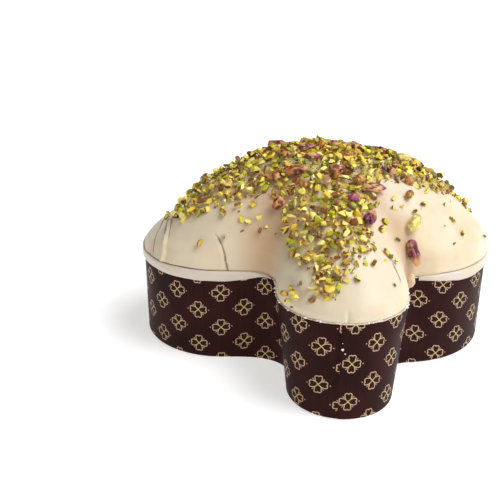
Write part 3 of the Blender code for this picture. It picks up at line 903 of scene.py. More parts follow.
class CAKE_OT_case(bpy.types.Operator):
    """Make the printed paper case"""

    bl_idname = "cake.case"
    bl_label = "Paper case"

    LAP_AT = math.radians(-89.7)
    SPOKES = 721
    WALL_ROWS = 18
    FOLD_ROWS = 4
    LAP_STEP = 0.00035
    # How the paper buckles, and how its cut edge waves, in long waves and short ones
    BUCKLE, BUCKLE_LENGTH, BUCKLE_SLANT = 0.00022, 0.009, 0.02
    EDGE_WAVE, EDGE_WAVE_LENGTH = 0.00030, 0.006
    EDGE_RIPPLE, EDGE_RIPPLE_LENGTH = 0.00008, 0.0017
    CUT_ROUND = 0.00015
    # Width of the painted shadow beside the lap
    LAP_SHADOW_WIDTH = 0.0019
    SLANT_FADES, SLANT_HOLDS = 0.030, 1.6
    PRINTED, CUT, LINED = range(3)

    def execute(self, context):
        cake, look = context.scene.cake_shape, context.scene.cake_paper
        outline = Outline(cake)
        angles = outline.spread(self.LAP_AT, self.LAP_AT + 2 * math.pi, self.SPOKES)
        rim = Rim(outline, angles)
        run = rim.run()
        rings, kinds = self.profile(cake, look, outline, rim, run)
        heights = [ring[:, 2] for ring in rings]

        creep = np.array(CREEP_RIGHT + CREEP_LEFT) * MILLIMETRE
        from_left = np.arange(len(creep)) >= len(CREEP_RIGHT)
        around = creep[:, 0] + np.where(from_left, run[-1], 0.0)
        shift = np.interp(run, around, creep[:, 1] + np.where(from_left, run[-1] - look.all_round, 0.0))
        rise = np.interp(run, around, creep[:, 2])
        from_seam = np.minimum(run, run[-1] - run)
        slant = look.slant * smooth_step(self.SLANT_HOLDS - from_seam / self.SLANT_FADES)
        across = [run - look.first_column - shift - slant * (height - look.first_row) for height in heights]
        up = [height - rise for height in heights]
        # Painted shadow beside the lap: 1 at the lap, fading away from it
        seam = np.exp(-((run[-1] - run) / self.LAP_SHADOW_WIDTH) ** 2)
        mesh = woven("paper_case_print", rings, across, up, kinds[:-1], {"seam": [seam] * len(rings)})
        finishes = (
            paper_finish(look),
            plain_paper_finish("cut_paper", look.cut, look.lining),
            plain_paper_finish("paper_lining", look.lining, look.cut),
        )
        add_piece("paper_case_print", mesh, finishes, ("paper_case",))
        return {"FINISHED"}

    def profile(self, cake, look, outline, rim, run):
        """The rings of the case, from the middle of its underside up outside and back down inside."""
        fold, paper, cut_round = cake.fold, cake.paper, self.CUT_ROUND
        wave = ripple(rim.points, self.EDGE_WAVE_LENGTH, 1) * self.EDGE_WAVE
        wave = wave + ripple(rim.points, self.EDGE_RIPPLE_LENGTH, 2) * self.EDGE_RIPPLE
        wave = wave - np.abs(wave)
        wave[-1] = wave[0]
        top = cake.wall + wave
        lap = np.clip(1 - run / look.lap, 0, 1) * self.LAP_STEP
        lap[0] = 0.0
        rings, kinds = [], []

        def add(inset, height, kind, lifted=0.0):
            rings.append(rim.ring(inset - lifted, height))
            kinds.append(kind)

        def add_pole(height):
            rings.append(np.tile([*outline.MIDDLE, height], (len(run), 1)))
            kinds.append(self.LINED)

        add_pole(0.0)
        add(fold * 1.2, 0.0, self.LINED)
        for row in range(self.FOLD_ROWS):
            turn = math.pi / 2 * row / self.FOLD_ROWS
            add(fold * (1 - math.sin(turn)), fold * (1 - math.cos(turn)), self.PRINTED, lap)
        for row in range(self.WALL_ROWS + 1):
            share = row / self.WALL_ROWS
            height = fold + (top - cut_round - fold) * share
            points = np.column_stack([rim.points, np.full(len(run), share * self.BUCKLE_SLANT)])
            buckle = ripple(points, self.BUCKLE_LENGTH, 3) * self.BUCKLE * math.sin(math.pi * share) ** 0.5
            buckle[-1] = buckle[0]
            kind = self.PRINTED if row < self.WALL_ROWS else self.CUT
            add(0.0, height, kind, lap + np.minimum(buckle, 0))
        add(cut_round, top, self.CUT, lap)
        add(paper - cut_round, top, self.CUT)
        add(paper, top - cut_round, self.LINED)
        add(paper, fold + paper, self.LINED)
        add(paper + fold, paper, self.LINED)
        add_pole(paper)
        return rings, kinds


# Where the chopped pistachio lies thick, in millimetres: from x, y and half-width to x, y and half-width
THICK = (
    (0, -28, 38, -66, -38, 19),
    (0, -28, 38, 64, -33, 17),
    (60, -28, 14, 90, -30, 5),
    (2, -40, 32, 3, -98, 20),
    (3, -98, 20, -2, -130, 6),
    (2, -20, 34, 2, 84, 16),
)
# Over what distance it thins out at the edge, and what share of that lies outside these bars
THICK_FADES, THICK_HOLDS = 0.011, 0.35


def thickness(x, y):
    """1 where the chopped pistachio lies thick, and 0 outside."""
    bars = np.array(THICK) * MILLIMETRE
    outside = np.min([beyond(x, y, bar[:2], bar[3:5], bar[2], bar[5]) for bar in bars], axis=0)
    return smooth_step(THICK_HOLDS - outside / THICK_FADES)


# Creases in the glaze, in millimetres: from x, y to x, y, width, depth, the height of the fold beside it,
# and how brown it is, as stain and painted shade. Where the depth is below 0 it is a ridge.
CREASES = (
    (-61, -71.7, -52.6, -83, 0.8, 0.55, 0.20, 0.80),
    (-90.6, -32, -90.7, -74, 0.85, -1.60, 0.0, 0.0),
    (-92.8, -26, -92.6, -50, 0.9, 0.60, 0.0, 0.85),
    (-89.0, -32, -89.3, -58, 0.6, 0.20, 0.0, 0.70),
    (-96.6, -15.9, -99.1, -58, 0.8, 0.60, 0.2, 0.80),
    (34.4, -106.1, 37.1, -117, 0.8, -0.45, 0.0, 1.0),
    (8.3, -142.4, 7.4, -147, 1.3, 0.60, 0.20, 0.80),
    (-22, -112, -15, -130, 3.2, 0.55, 0.0, 0.22),
    (58, -58, 66, -88, 3.0, -0.35, 0.0, 0.0),
    (70, -52, 80, -80, 3.2, -0.30, 0.0, 0.0),
    (-70, 4, -72, 18, 0.9, 0.40, 0.12, 0.45),
    (30, 60, 44, 68, 0.9, 0.40, 0.12, 0.45),
    (-32, 84, -42, 96, 0.9, 0.40, 0.12, 0.45),
    (84, -8, 96, 0, 0.9, 0.40, 0.12, 0.45),
)
CREASE_WANDER = 0.0004

# Soft relief of the glaze, each as length, seed and height, and over what distance from the rim it grows
SWELLS = (0.017, 4, 0.00045)
DIMPLES = (0.006, 5, 0.00012)
SWELLS_GROW = 0.006
# Where the glaze pooled on its way down: how far inside the rim, how wide and how thick, and its waves
POOL, POOL_WIDTH, POOL_HEIGHT = 0.0040, 0.0026, 0.00060
POOL_WAVES = (0.011, 6, 0.00025)
# The thicker pools at the ends of the wings: where they start, how far on they are full, and the same sizes
WING_END, WING_END_FADES, WING_MIDDLE, WING_HALF_DEPTH = 0.070, 0.028, -0.03, 0.07
END_POOL, END_POOL_WIDTH, END_POOL_HEIGHT = 0.0060, 0.0045, 0.0016


def glaze_relief(x, y, outline):
    """How far the glaze stands out from the plain dome."""
    depth = -outline.outside_by(x, y)
    flat = np.column_stack([x, y, np.zeros_like(x)])
    relief = waves(flat, SWELLS) + waves(flat, DIMPLES)
    pooled = np.exp(-((depth - POOL) / POOL_WIDTH) ** 2)
    relief = relief * smooth_step(depth / SWELLS_GROW) + pooled * (POOL_HEIGHT + waves(flat, POOL_WAVES))
    at_ends = smooth_step((np.abs(x) - WING_END) / WING_END_FADES)
    at_ends = at_ends * (np.abs(y - WING_MIDDLE) < WING_HALF_DEPTH)
    relief = relief + at_ends * END_POOL_HEIGHT * np.exp(-((depth - END_POOL) / END_POOL_WIDTH) ** 2)
    for *sizes, _ in CREASES:
        x0, y0, x1, y1, width, deep, fold = np.array(sizes) * MILLIMETRE
        along_x, along_y = x1 - x0, y1 - y0
        length = math.hypot(along_x, along_y)
        share = ((x - x0) * along_x + (y - y0) * along_y) / length**2
        side = ((x - x0) * along_y - (y - y0) * along_x) / length
        side = side + CREASE_WANDER * np.sin(share * 5.0)
        ends = smooth_step((share + 0.15) / 0.5) * smooth_step((1.25 - share) / 0.25)
        groove = np.exp(-(side / width) ** 2) * ends
        beside = np.exp(-((side - 1.9 * width) / (1.2 * width)) ** 2)
        relief = relief - deep * groove + fold * beside * ends
    return relief


class CAKE_OT_glaze(bpy.types.Operator):
    """Make the glaze over the dome"""

    bl_idname = "cake.glaze"
    bl_label = "Glaze"

    RINGS = 88
    CROWDING = 1.7
    SKIRT_RINGS = 16
    # How far the glaze bulges out by the lip, what share of that by bare paper, and how uneven that is
    SKIRT_BULGE, BULGE_OVER_PAPER, BULGE_SWAY = 0.0021, 0.16, 0.25
    SWAY_LENGTH = 0.012
    # How high over the rim the painted shadow in the gap along the lip reaches, over what height it fades,
    # and the length of its unevenness
    GAP_SHOWS, GAP_FADES, GAP_LENGTH = 0.0016, 0.0003, 0.03

    def execute(self, context):
        cake, look = context.scene.cake_shape, context.scene.cake_glaze
        outline = Outline(cake)
        dome = Dome(outline)
        first = -math.pi / 2
        rim = Rim(outline, outline.spread(first, first + 2 * math.pi, look.spokes + 1))
        inset = rim.foot()
        foot = rim.ring(inset, cake.wall)
        flat = np.zeros(len(foot))
        rings, kept = [], {"crease_and_gap_shade": [], "valley_shade": [], "dust_and_shade": []}

        def add(ring, crease_and_gap_shade=flat, valley_shade=flat, dust_and_shade=flat):
            rings.append(ring)
            for numbers, fresh in zip(kept.values(), (crease_and_gap_shade, valley_shade, dust_and_shade)):
                numbers.append(fresh)

        tuck = cake.wall - cake.tuck
        add(np.tile([*outline.MIDDLE, tuck], (len(foot), 1)))
        add(rim.ring(inset + cake.glaze, tuck))
        add(rim.ring(inset, tuck))
        for step in range(self.RINGS + 1):
            share = 1 - (step / self.RINGS) ** self.CROWDING
            x = outline.MIDDLE[0] + (foot[:, 0] - outline.MIDDLE[0]) * share
            y = outline.MIDDLE[1] + (foot[:, 1] - outline.MIDDLE[1]) * share
            out = dome.normal(x, y)
            if share == 0:
                out = np.tile([0.0, 0.0, 1.0], (len(x), 1))
            relief = glaze_relief(x, y, outline)
            relief[-1] = relief[0]
            surface = np.column_stack([x, y, dome.height(x, y)]) + out * relief[:, None]
            # How much painted shade each point takes in the valleys between the lobes
            valley_shade = outline.valley(x, y)
            if step == 0:
                # The lowest rings of the skirt take the painted shadow of the gap along the lip
                for ring, crease_and_gap_shade in self.skirt(cake, rim, inset, relief, surface[:, 2]):
                    add(ring, crease_and_gap_shade, valley_shade)
            # Where the nuts lie thick the glaze takes nut dust and painted shade
            add(surface, valley_shade=valley_shade, dust_and_shade=thickness(x, y))
        rings[-1][:] = rings[-1].mean(axis=0)
        mesh = woven("glaze", rings, values=kept)
        finish = glaze_finish("white_glaze", look, look.cream, creased=True)
        add_piece("glaze", mesh, (finish,), ("icing",), sharp=0)
        return {"FINISHED"}

    def painted_gap_shade(self, rim):
        """How much painted shadow the gap along the lip takes: most round the left wing, and least towards
        the head.
        """
        x, y = rim.points[:, 0], rim.points[:, 1]
        wide = 0.55 + 0.6 * ripple(rim.points, self.GAP_LENGTH, 13) + 0.4 * (x < -0.03)
        wide = np.clip(wide, 0.2, 1) * smooth_step((np.abs(x - 0.012) - 0.045) / 0.02)
        return np.where(x > 0, 0.85, 1) * np.where(y < -0.03, wide, 0.6)

    def skirt(self, cake, rim, inset, relief, tops):
        """The rings of the steep foot of the glaze, each with how much painted shadow of the gap along the
        lip it takes.
        """
        lipped = smooth_step(rim.from_lip_end() + 1)
        sway = ripple(rim.points, self.SWAY_LENGTH, 12)
        sway[-1] = sway[0]
        gap = lipped * self.painted_gap_shade(rim)
        for level in range(self.SKIRT_RINGS):
            share = (level / self.SKIRT_RINGS) ** 2
            height = cake.wall + (tops - cake.wall) * share
            fuller = (1 - smooth_step(share)) * (1 - 0.6 * math.exp(-share / 0.02))
            over_lip = self.BULGE_OVER_PAPER + (1 - self.BULGE_OVER_PAPER) * lipped
            bulge = relief * min(share * 4, 1) + self.SKIRT_BULGE * fuller * over_lip
            bulge = bulge * (1 + self.BULGE_SWAY * sway)
            low = np.clip((self.GAP_SHOWS - height + cake.wall) / self.GAP_FADES, 0, 1)
            yield rim.ring(inset - bulge, height), gap * low


class CAKE_OT_lip(bpy.types.Operator):
    """Make the lip of glaze that ran over the rim"""

    bl_idname = "cake.lip"
    bl_label = "Lip of glaze"

    COLUMNS = 900
    # How the glaze runs down in uneven drips, and how uneven it stands: each as length, seed and height
    DRIPS = (0.014, 7, 0.00045)
    FINE_DRIPS = (0.0035, 8, 0.00016)
    SIDE_WAVES = (0.010, 9, 0.00012)
    TOP_WAVES = (0.008, 10, 0.00012)
    # It starts short and thin by the head's right side, and ends in almost nothing by the left one
    STARTS_AT, STARTS_OVER = 0.35, 0.34
    ENDS_AT, ENDS_OVER = 0.08, 1.5

    def execute(self, context):
        cake, look = context.scene.cake_shape, context.scene.cake_glaze
        outline = Outline(cake)
        angles = outline.spread(Rim.LIP_STARTS, Rim.LIP_ENDS, self.COLUMNS)
        rim = Rim(outline, angles)
        points = rim.points
        from_start, from_end = angles - Rim.LIP_STARTS, Rim.LIP_ENDS - angles
        started = self.STARTS_AT + (1 - self.STARTS_AT) * smooth_step(from_start / self.STARTS_OVER)
        ended = self.ENDS_AT + (1 - self.ENDS_AT) * smooth_step(from_end / Rim.LIP_TAPER / self.ENDS_OVER)
        drop = cake.lip_drop * started * ended + waves(points, self.DRIPS) + waves(points, self.FINE_DRIPS)
        body = np.clip(rim.from_lip_end() * 3, 0.05, 1)
        bulge = waves(points, self.SIDE_WAVES)
        top = cake.wall + cake.gap + cake.lip * 0.55 * body + waves(points, self.TOP_WAVES)
        outer = -cake.gap - cake.lip * 0.92 * body - np.minimum(bulge, 0.0)
        inner = cake.paper + cake.lip_reach * body
        under = cake.wall + cake.gap * 0.5
        bottom = cake.wall - drop
        # The section, from the rim down the paper, up outside, over the top and back: inset and height
        profile = (
            (-cake.gap * 0.5, under),
            (-cake.gap * 0.5, bottom + 0.0004),
            (-cake.gap, bottom),
            ((outer - cake.gap) / 2, bottom - 0.0002),
            (outer * 0.92, bottom + 0.0002),
            (outer, bottom + 0.0010),
            (outer * 0.96, (bottom + top) / 2),
            (outer, top - 0.0009),
            (outer * 0.85, top - 0.0003),
            ((outer + inner) / 2 - 0.0006, top),
            ((outer + inner) / 2 + 0.0004, top),
            (inner - 0.0002, top - 0.0003),
            (inner, top - 0.0007),
            (inner - 0.0001, under),
            (-cake.gap * 0.5, under),
        )
        rings = [rim.ring(inset, np.broadcast_to(height, len(points))) for inset, height in profile]
        sections = [np.array(section) for section in zip(*rings)]
        closed = [np.tile(sections[0].mean(axis=0), (len(profile), 1))] + sections
        closed.append(np.tile(sections[-1].mean(axis=0), (len(profile), 1)))
        mesh = woven("glaze_lip_set", closed)
        finish = glaze_finish("white_lip", look, look.lip, creased=False)
        add_piece("glaze_lip_set", mesh, (finish,), ("glaze_lip",), sharp=0)
        return {"FINISHED"}


# Glaze that dripped on to the case, in millimetres: x, y, z and the half sizes along them. The first two
# have browned.
DROPS = (
    (49.6, -90.0, 54.6, 3.2, 2.4, 4.2),
    (48.0, -91.8, 50.0, 1.1, 1.0, 1.7),
    (5.5, -145.0, 41.9, 0.70, 0.45, 0.70),
    (6.9, -145.0, 39.5, 0.42, 0.30, 0.42),
    (5.4, -145.0, 45.4, 0.20, 0.20, 0.20),
)


class CAKE_OT_drops(bpy.types.Operator):
    """Make the drops of glaze on the case and the crumbs of glaze along its edge"""

    bl_idname = "cake.drops"
    bl_label = "Drops of glaze"

    CRUMBS = 110
    CRUMBS_FROM = math.radians(-128)
    CRUMBS_TO = math.radians(-55)
    BROWNED = 2
    SMALLEST, SPREAD = 0.00024, 0.00050
    # How uneven a drop is, and how unlike each other two drops a metre apart are
    SWELLING, UNLIKE = 0.28, 900

    def execute(self, context):
        cake, look = context.scene.cake_shape, context.scene.cake_glaze
        draw = random.Random(SEED)
        work = bmesh.new()
        for index, sizes in enumerate(DROPS):
            x, y, z, *half = [size * MILLIMETRE for size in sizes]
            self.drop(work, Vector((x, y, z)), Vector(half), 3, int(index < self.BROWNED))
        angles = np.sort([draw.uniform(self.CRUMBS_FROM, self.CRUMBS_TO) for _ in range(self.CRUMBS)])
        rim = Rim(Outline(cake), angles)
        inset = [cake.paper * draw.uniform(0.0, 0.9) for _ in angles]
        for place in rim.ring(inset, cake.wall):
            size = self.SMALLEST + self.SPREAD * draw.random() ** 3
            flat = Vector((size * draw.uniform(0.8, 1.6), size, size * draw.uniform(0.6, 1.0)))
            self.drop(work, Vector(place), flat, 2, 0)
        finishes = (
            glaze_finish("white_drops", look, look.drop, creased=False),
            glaze_finish("browned_drops", look, look.toffee, creased=False),
        )
        add_piece("glaze_drops", mesh_of(work, "glaze_drops"), finishes, sharp=0)
        return {"FINISHED"}

    def drop(self, work, place, half, detail, kind):
        """Adds one drop: a ball with these half sizes, a little swollen here and there."""
        made = bmesh.ops.create_icosphere(work, subdivisions=detail, radius=1.0)
        for vert in made["verts"]:
            swell = 1 + self.SWELLING * noise.noise(vert.co * 1.5 + place * self.UNLIKE)
            vert.co = place + vert.co * half * swell
        for face in {face for vert in made["verts"] for face in vert.link_faces}:
            face.material_index = kind


class CAKE_OT_kernels(bpy.types.Operator):
    """Make the whole pistachio kernels over their solids"""

    bl_idname = "cake.kernels"
    bl_label = "Whole kernels"

    LEVELS = 3
    # Rounding draws the mesh in from a solid's corners, so the kernel is made this much larger
    GROWTH = 1.18
    LIFT = 0.0008
    RIB_DEPTH, RIB_WIDTH, RIB_LENGTH = 0.0012, 0.0023, 0.0040
    BARE_RIBS = 0.4
    LUMPS, LUMP_LENGTH = 0.0009, 0.0045
    GRAIN, GRAIN_LENGTH = 0.00010, 0.0011
    ANY_ANGLE = 3.2

    def execute(self, context):
        finishes = {kind: kernel_finish(kind) for kind in KERNEL_SKINS}
        for part in frame["record"]["subparts"]:
            if part["material_slot"].startswith("kernel_"):
                kind = part["material_slot"].removeprefix("kernel_")
                self.make(part["node"], part["material_slot"], finishes[kind])
        return {"FINISHED"}

    def rounded(self, node):
        """The solid's mesh, its triangles joined to quads and the whole rounded."""
        work = from_solid(node)
        limits = {"angle_face_threshold": self.ANY_ANGLE, "angle_shape_threshold": self.ANY_ANGLE}
        bmesh.ops.join_triangles(work, faces=work.faces[:], **limits)
        rough = mesh_of(work, node + "_rough")
        piece = bpy.data.objects.new(node + "_rounded", rough)
        bpy.context.scene.collection.objects.link(piece)
        levels = piece.modifiers.new("Rounded", "SUBSURF")
        levels.levels = levels.render_levels = self.LEVELS
        bpy.context.view_layer.update()
        mesh = bpy.data.meshes.new_from_object(piece.evaluated_get(bpy.context.evaluated_depsgraph_get()))
        bpy.data.objects.remove(piece)
        bpy.data.meshes.remove(rough)
        return mesh

    def make(self, node, slot, finish):
        """One kernel, with ribs along its skin."""
        mesh = self.rounded(node)
        points = np.empty(len(mesh.vertices) * 3)
        mesh.vertices.foreach_get("co", points)
        points = points.reshape(-1, 3)
        centre = points.mean(axis=0)
        _, axes = np.linalg.eigh(np.cov((points - centre).T))
        local = (points - centre) @ axes * self.GROWTH
        across, side, along = local[:, 0], local[:, 1], local[:, 2]
        scaled = np.column_stack([across / self.RIB_WIDTH, side / self.RIB_WIDTH, along / self.RIB_LENGTH])
        seed = float(int(node.split("_")[1]))
        ribs = smooth_step(0.5 + 0.9 * ripple(scaled, 1.0, seed) + 0.35 * ripple(scaled, 0.5, seed + 10))
        lumps = waves(local, (self.LUMP_LENGTH, seed + 20, self.LUMPS))
        lumps = lumps + waves(local, (self.GRAIN_LENGTH, seed + 40, self.GRAIN))
        out = local / np.linalg.norm(local, axis=1)[:, None]
        depth = self.RIB_DEPTH * (self.BARE_RIBS if slot == "kernel_green" else 1.0)
        local = local + out * (lumps - ribs * depth)[:, None]
        centre = centre + np.array((0.0, 0.0, self.LIFT))
        mesh.vertices.foreach_set("co", (centre + local @ axes.T).astype(np.float32).ravel())
        keep_numbers(mesh, "rib", ribs)
        keep_numbers(mesh, "along", (along - along.min()) / np.ptp(along))
        mesh.update()
        name = node.replace("kernel", "pistachio")
        mesh.name = name
        add_piece(name, mesh, (finish,), (node,), sharp=0)


# Chopped pieces that lie apart: the pixel where each shows from the camera, in a picture 500 pixels wide
# and high, across and down, then its length in millimetres and its kind
LOOSE_CHIPS = (
    (201, 244, 4.4, "yellow"), (179, 200, 4.6, "yellow"), (167, 211, 3.0, "yellow"),
    (178, 211, 3.6, "pale"), (196, 202, 5.0, "brown"), (198, 214, 5.4, "dark"), (223, 208, 4.6, "green"),
    (224, 214, 5.0, "green"), (239, 206, 4.6, "yellow"), (249, 223, 4.4, "yellow"),
    (261, 231, 5.0, "brown"), (267, 227, 3.2, "yellow"), (242, 231, 2.0, "dark"), (276, 234, 1.8, "dark"),
    (255, 205, 5.2, "brown"), (259, 217, 4.4, "yellow"), (293, 236, 4.8, "brown"),
    (293, 250, 4.4, "green"), (376, 206, 4.8, "green"), (394, 209, 4.4, "yellow"),
    (394, 199, 4.2, "brown"), (409, 195, 5.2, "husk"), (423, 205, 4.0, "yellow"),
    (426, 192, 4.2, "brown"), (444, 205, 2.8, "dark"), (452, 220, 4.4, "green"),
    (462, 234, 4.8, "yellow"), (454, 244, 2.2, "brown"), (418, 219, 3.2, "dark"), (397, 240, 4.0, "dark"),
    (384, 223, 4.4, "green"), (382, 230, 4.8, "yellow"), (348, 231, 6.2, "green"),
    (367, 252, 4.8, "brown"), (360, 250, 5.4, "green"), (366, 264, 3.6, "yellow"),
    (373, 264, 4.0, "yellow"), (357, 279, 4.2, "yellow"), (385, 252, 4.6, "brown"),
    (390, 257, 3.8, "dark"), (394, 262, 4.6, "yellow"), (339, 293, 1.8, "green"), (312, 300, 3.4, "dark"),
    (335, 279, 5.4, "green"), (328, 274, 4.6, "yellow"), (319, 276, 4.8, "yellow"),
    (337, 273, 4.0, "yellow"), (292, 288, 3.6, "green"), (295, 295, 5.6, "yellow"),
    (291, 302, 3.6, "green"), (288, 296, 4.6, "brown"), (298, 299, 4.4, "pale"), (296, 306, 2.8, "pale"),
    (301, 284, 3.0, "dark"), (304, 143, 5.5, "husk"), (321, 148, 8.0, "husk"), (353, 148, 8.0, "husk"),
    (349, 159, 7.0, "husk"), (377, 150, 6.0, "husk"), (334, 177, 8.0, "husk"), (359, 182, 7.5, "husk"),
    (408, 183, 6.5, "husk"), (407, 198, 5.0, "husk"), (325, 291, 6.4, "brown"), (330, 290, 5.4, "brown"),
    (294, 156, 5.0, "yellow"), (331, 284, 5.0, "green"), (323, 283, 3.8, "yellow"),
    (450, 186, 4.0, "yellow"), (457, 190, 4.4, "brown"), (463, 194, 4.0, "yellow"),
    (468, 201, 3.6, "brown"), (473, 209, 2.6, "dark"), (484, 236, 3.0, "green"),
)

# Each kind of chopped piece: its three tones, and its share of the pieces drawn at random
CHIP_KINDS = {
    "yellow": (("pale", "yellow", "green"), 0.40),
    "pale": (("pale", "pale", "yellow"), 0.10),
    "green": (("yellow", "green", "dark"), 0.26),
    "dark": (("dark", "green", "dark"), 0.08),
    "brown": (("skin", "yellow", "skin"), 0.20),
    "husk": (("yellow", "green", "green"), 0.0),
}


def nut_layers(work):
    """The numbers that each face of a chopped piece keeps: how much skin it has, and how bright its painted
    shade leaves it.
    """
    return work.faces.layers.float.new("skin"), work.faces.layers.float.new("shade")


def nut_mesh(work, name):
    """The finished mesh of a chopped piece, with room for its tone."""
    mesh = mesh_of(work, name)
    mesh.attributes.new("tone", "FLOAT", "FACE")
    return mesh


def any_way(draw, thinness=1.0):
    """A direction drawn at random, which may be made to lie less often along X."""
    return Vector((draw.gauss(0, thinness), draw.gauss(0, 1), draw.gauss(0, 1))).normalized()


def chunk(draw, cuts, detail):
    """A chopped piece about 1 across: a ball with flat cuts, skin on one side of it."""
    work = bmesh.new()
    bmesh.ops.create_icosphere(work, subdivisions=detail, radius=0.60)
    for vert in work.verts:
        vert.co *= draw.uniform(0.90, 1.10)
    for _ in range(cuts):
        towards = any_way(draw, 0.8)
        everything = work.verts[:] + work.edges[:] + work.faces[:]
        plane = {"plane_co": towards * draw.uniform(0.15, 0.40), "plane_no": towards}
        bmesh.ops.bisect_plane(work, geom=everything, clear_outer=True, **plane)
        edges = [edge for edge in work.edges if edge.is_boundary]
        bmesh.ops.holes_fill(work, edges=edges, sides=0)
    bmesh.ops.dissolve_degenerate(work, edges=work.edges[:], dist=0.04)
    bmesh.ops.triangulate(work, faces=work.faces[:])
    bmesh.ops.recalc_face_normals(work, faces=work.faces[:])
    outer = any_way(draw)
    across = outer.orthogonal()
    skin, shade = nut_layers(work)
    for face in work.faces:
        face[skin] = float(face.normal.dot(outer) > 0.42)
        # Painted shade: darker underneath and towards one side
        face[shade] = 0.75 * face.normal.z + 0.4 * face.normal.dot(across)
    return nut_mesh(work, "chunk")


def bean(draw):
    """A large piece about 1 long: a kernel, or most of one, with its wrinkled skin on."""
    work = bmesh.new()
    bmesh.ops.create_icosphere(work, subdivisions=4, radius=0.5)
    seed = draw.uniform(0, 50)
    for vert in work.verts:
        place = vert.co.copy()
        wrinkle = abs(noise.noise(Vector((place.x * 2.2, place.y * 5.5, place.z * 5.5 + seed))))
        lump = noise.noise(place * 2.0 + Vector((seed, 0, 0)))
        vert.co = place * (0.95 + 0.22 * lump + 0.16 * min(wrinkle * 2.2, 1.0) - 0.12 * place.x)
    skin, shade = nut_layers(work)
    for face in work.faces:
        face[skin] = 1.0
        # Painted shade: darker in the wrinkles and underneath
        face[shade] = 12 * (face.calc_center_median().length - 0.47) + 0.5 * face.normal.z
    return nut_mesh(work, "bean")


class Heap:
    """How high the chopped pieces are piled up on the glaze, in squares of a millimetre."""

    MARGIN = 5

    def __init__(self, cake):
        self.half = int(cake.length / MILLIMETRE / 2) + self.MARGIN
        self.levels = np.zeros((2 * self.half, 2 * self.half))

    def square(self, place, reach):
        """The squares round a place, out to this reach on all four sides."""
        low = [int(value / MILLIMETRE - reach / MILLIMETRE + self.half) for value in place[:2]]
        high = [int(value / MILLIMETRE + reach / MILLIMETRE + self.half) + 1 for value in place[:2]]
        return slice(low[0], high[0]), slice(low[1], high[1])

    def level(self, place, reach):
        """How high a piece would lie there: between the mean and the highest of what is under it."""
        under = self.levels[self.square(place, reach)]
        return 0.6 * float(under.mean()) + 0.4 * float(under.max())

    def raise_to(self, place, reach, level):
        """Piles the heap up to a level, where it isn't higher already."""
        square = self.square(place, reach)
        self.levels[square] = np.maximum(self.levels[square], level)


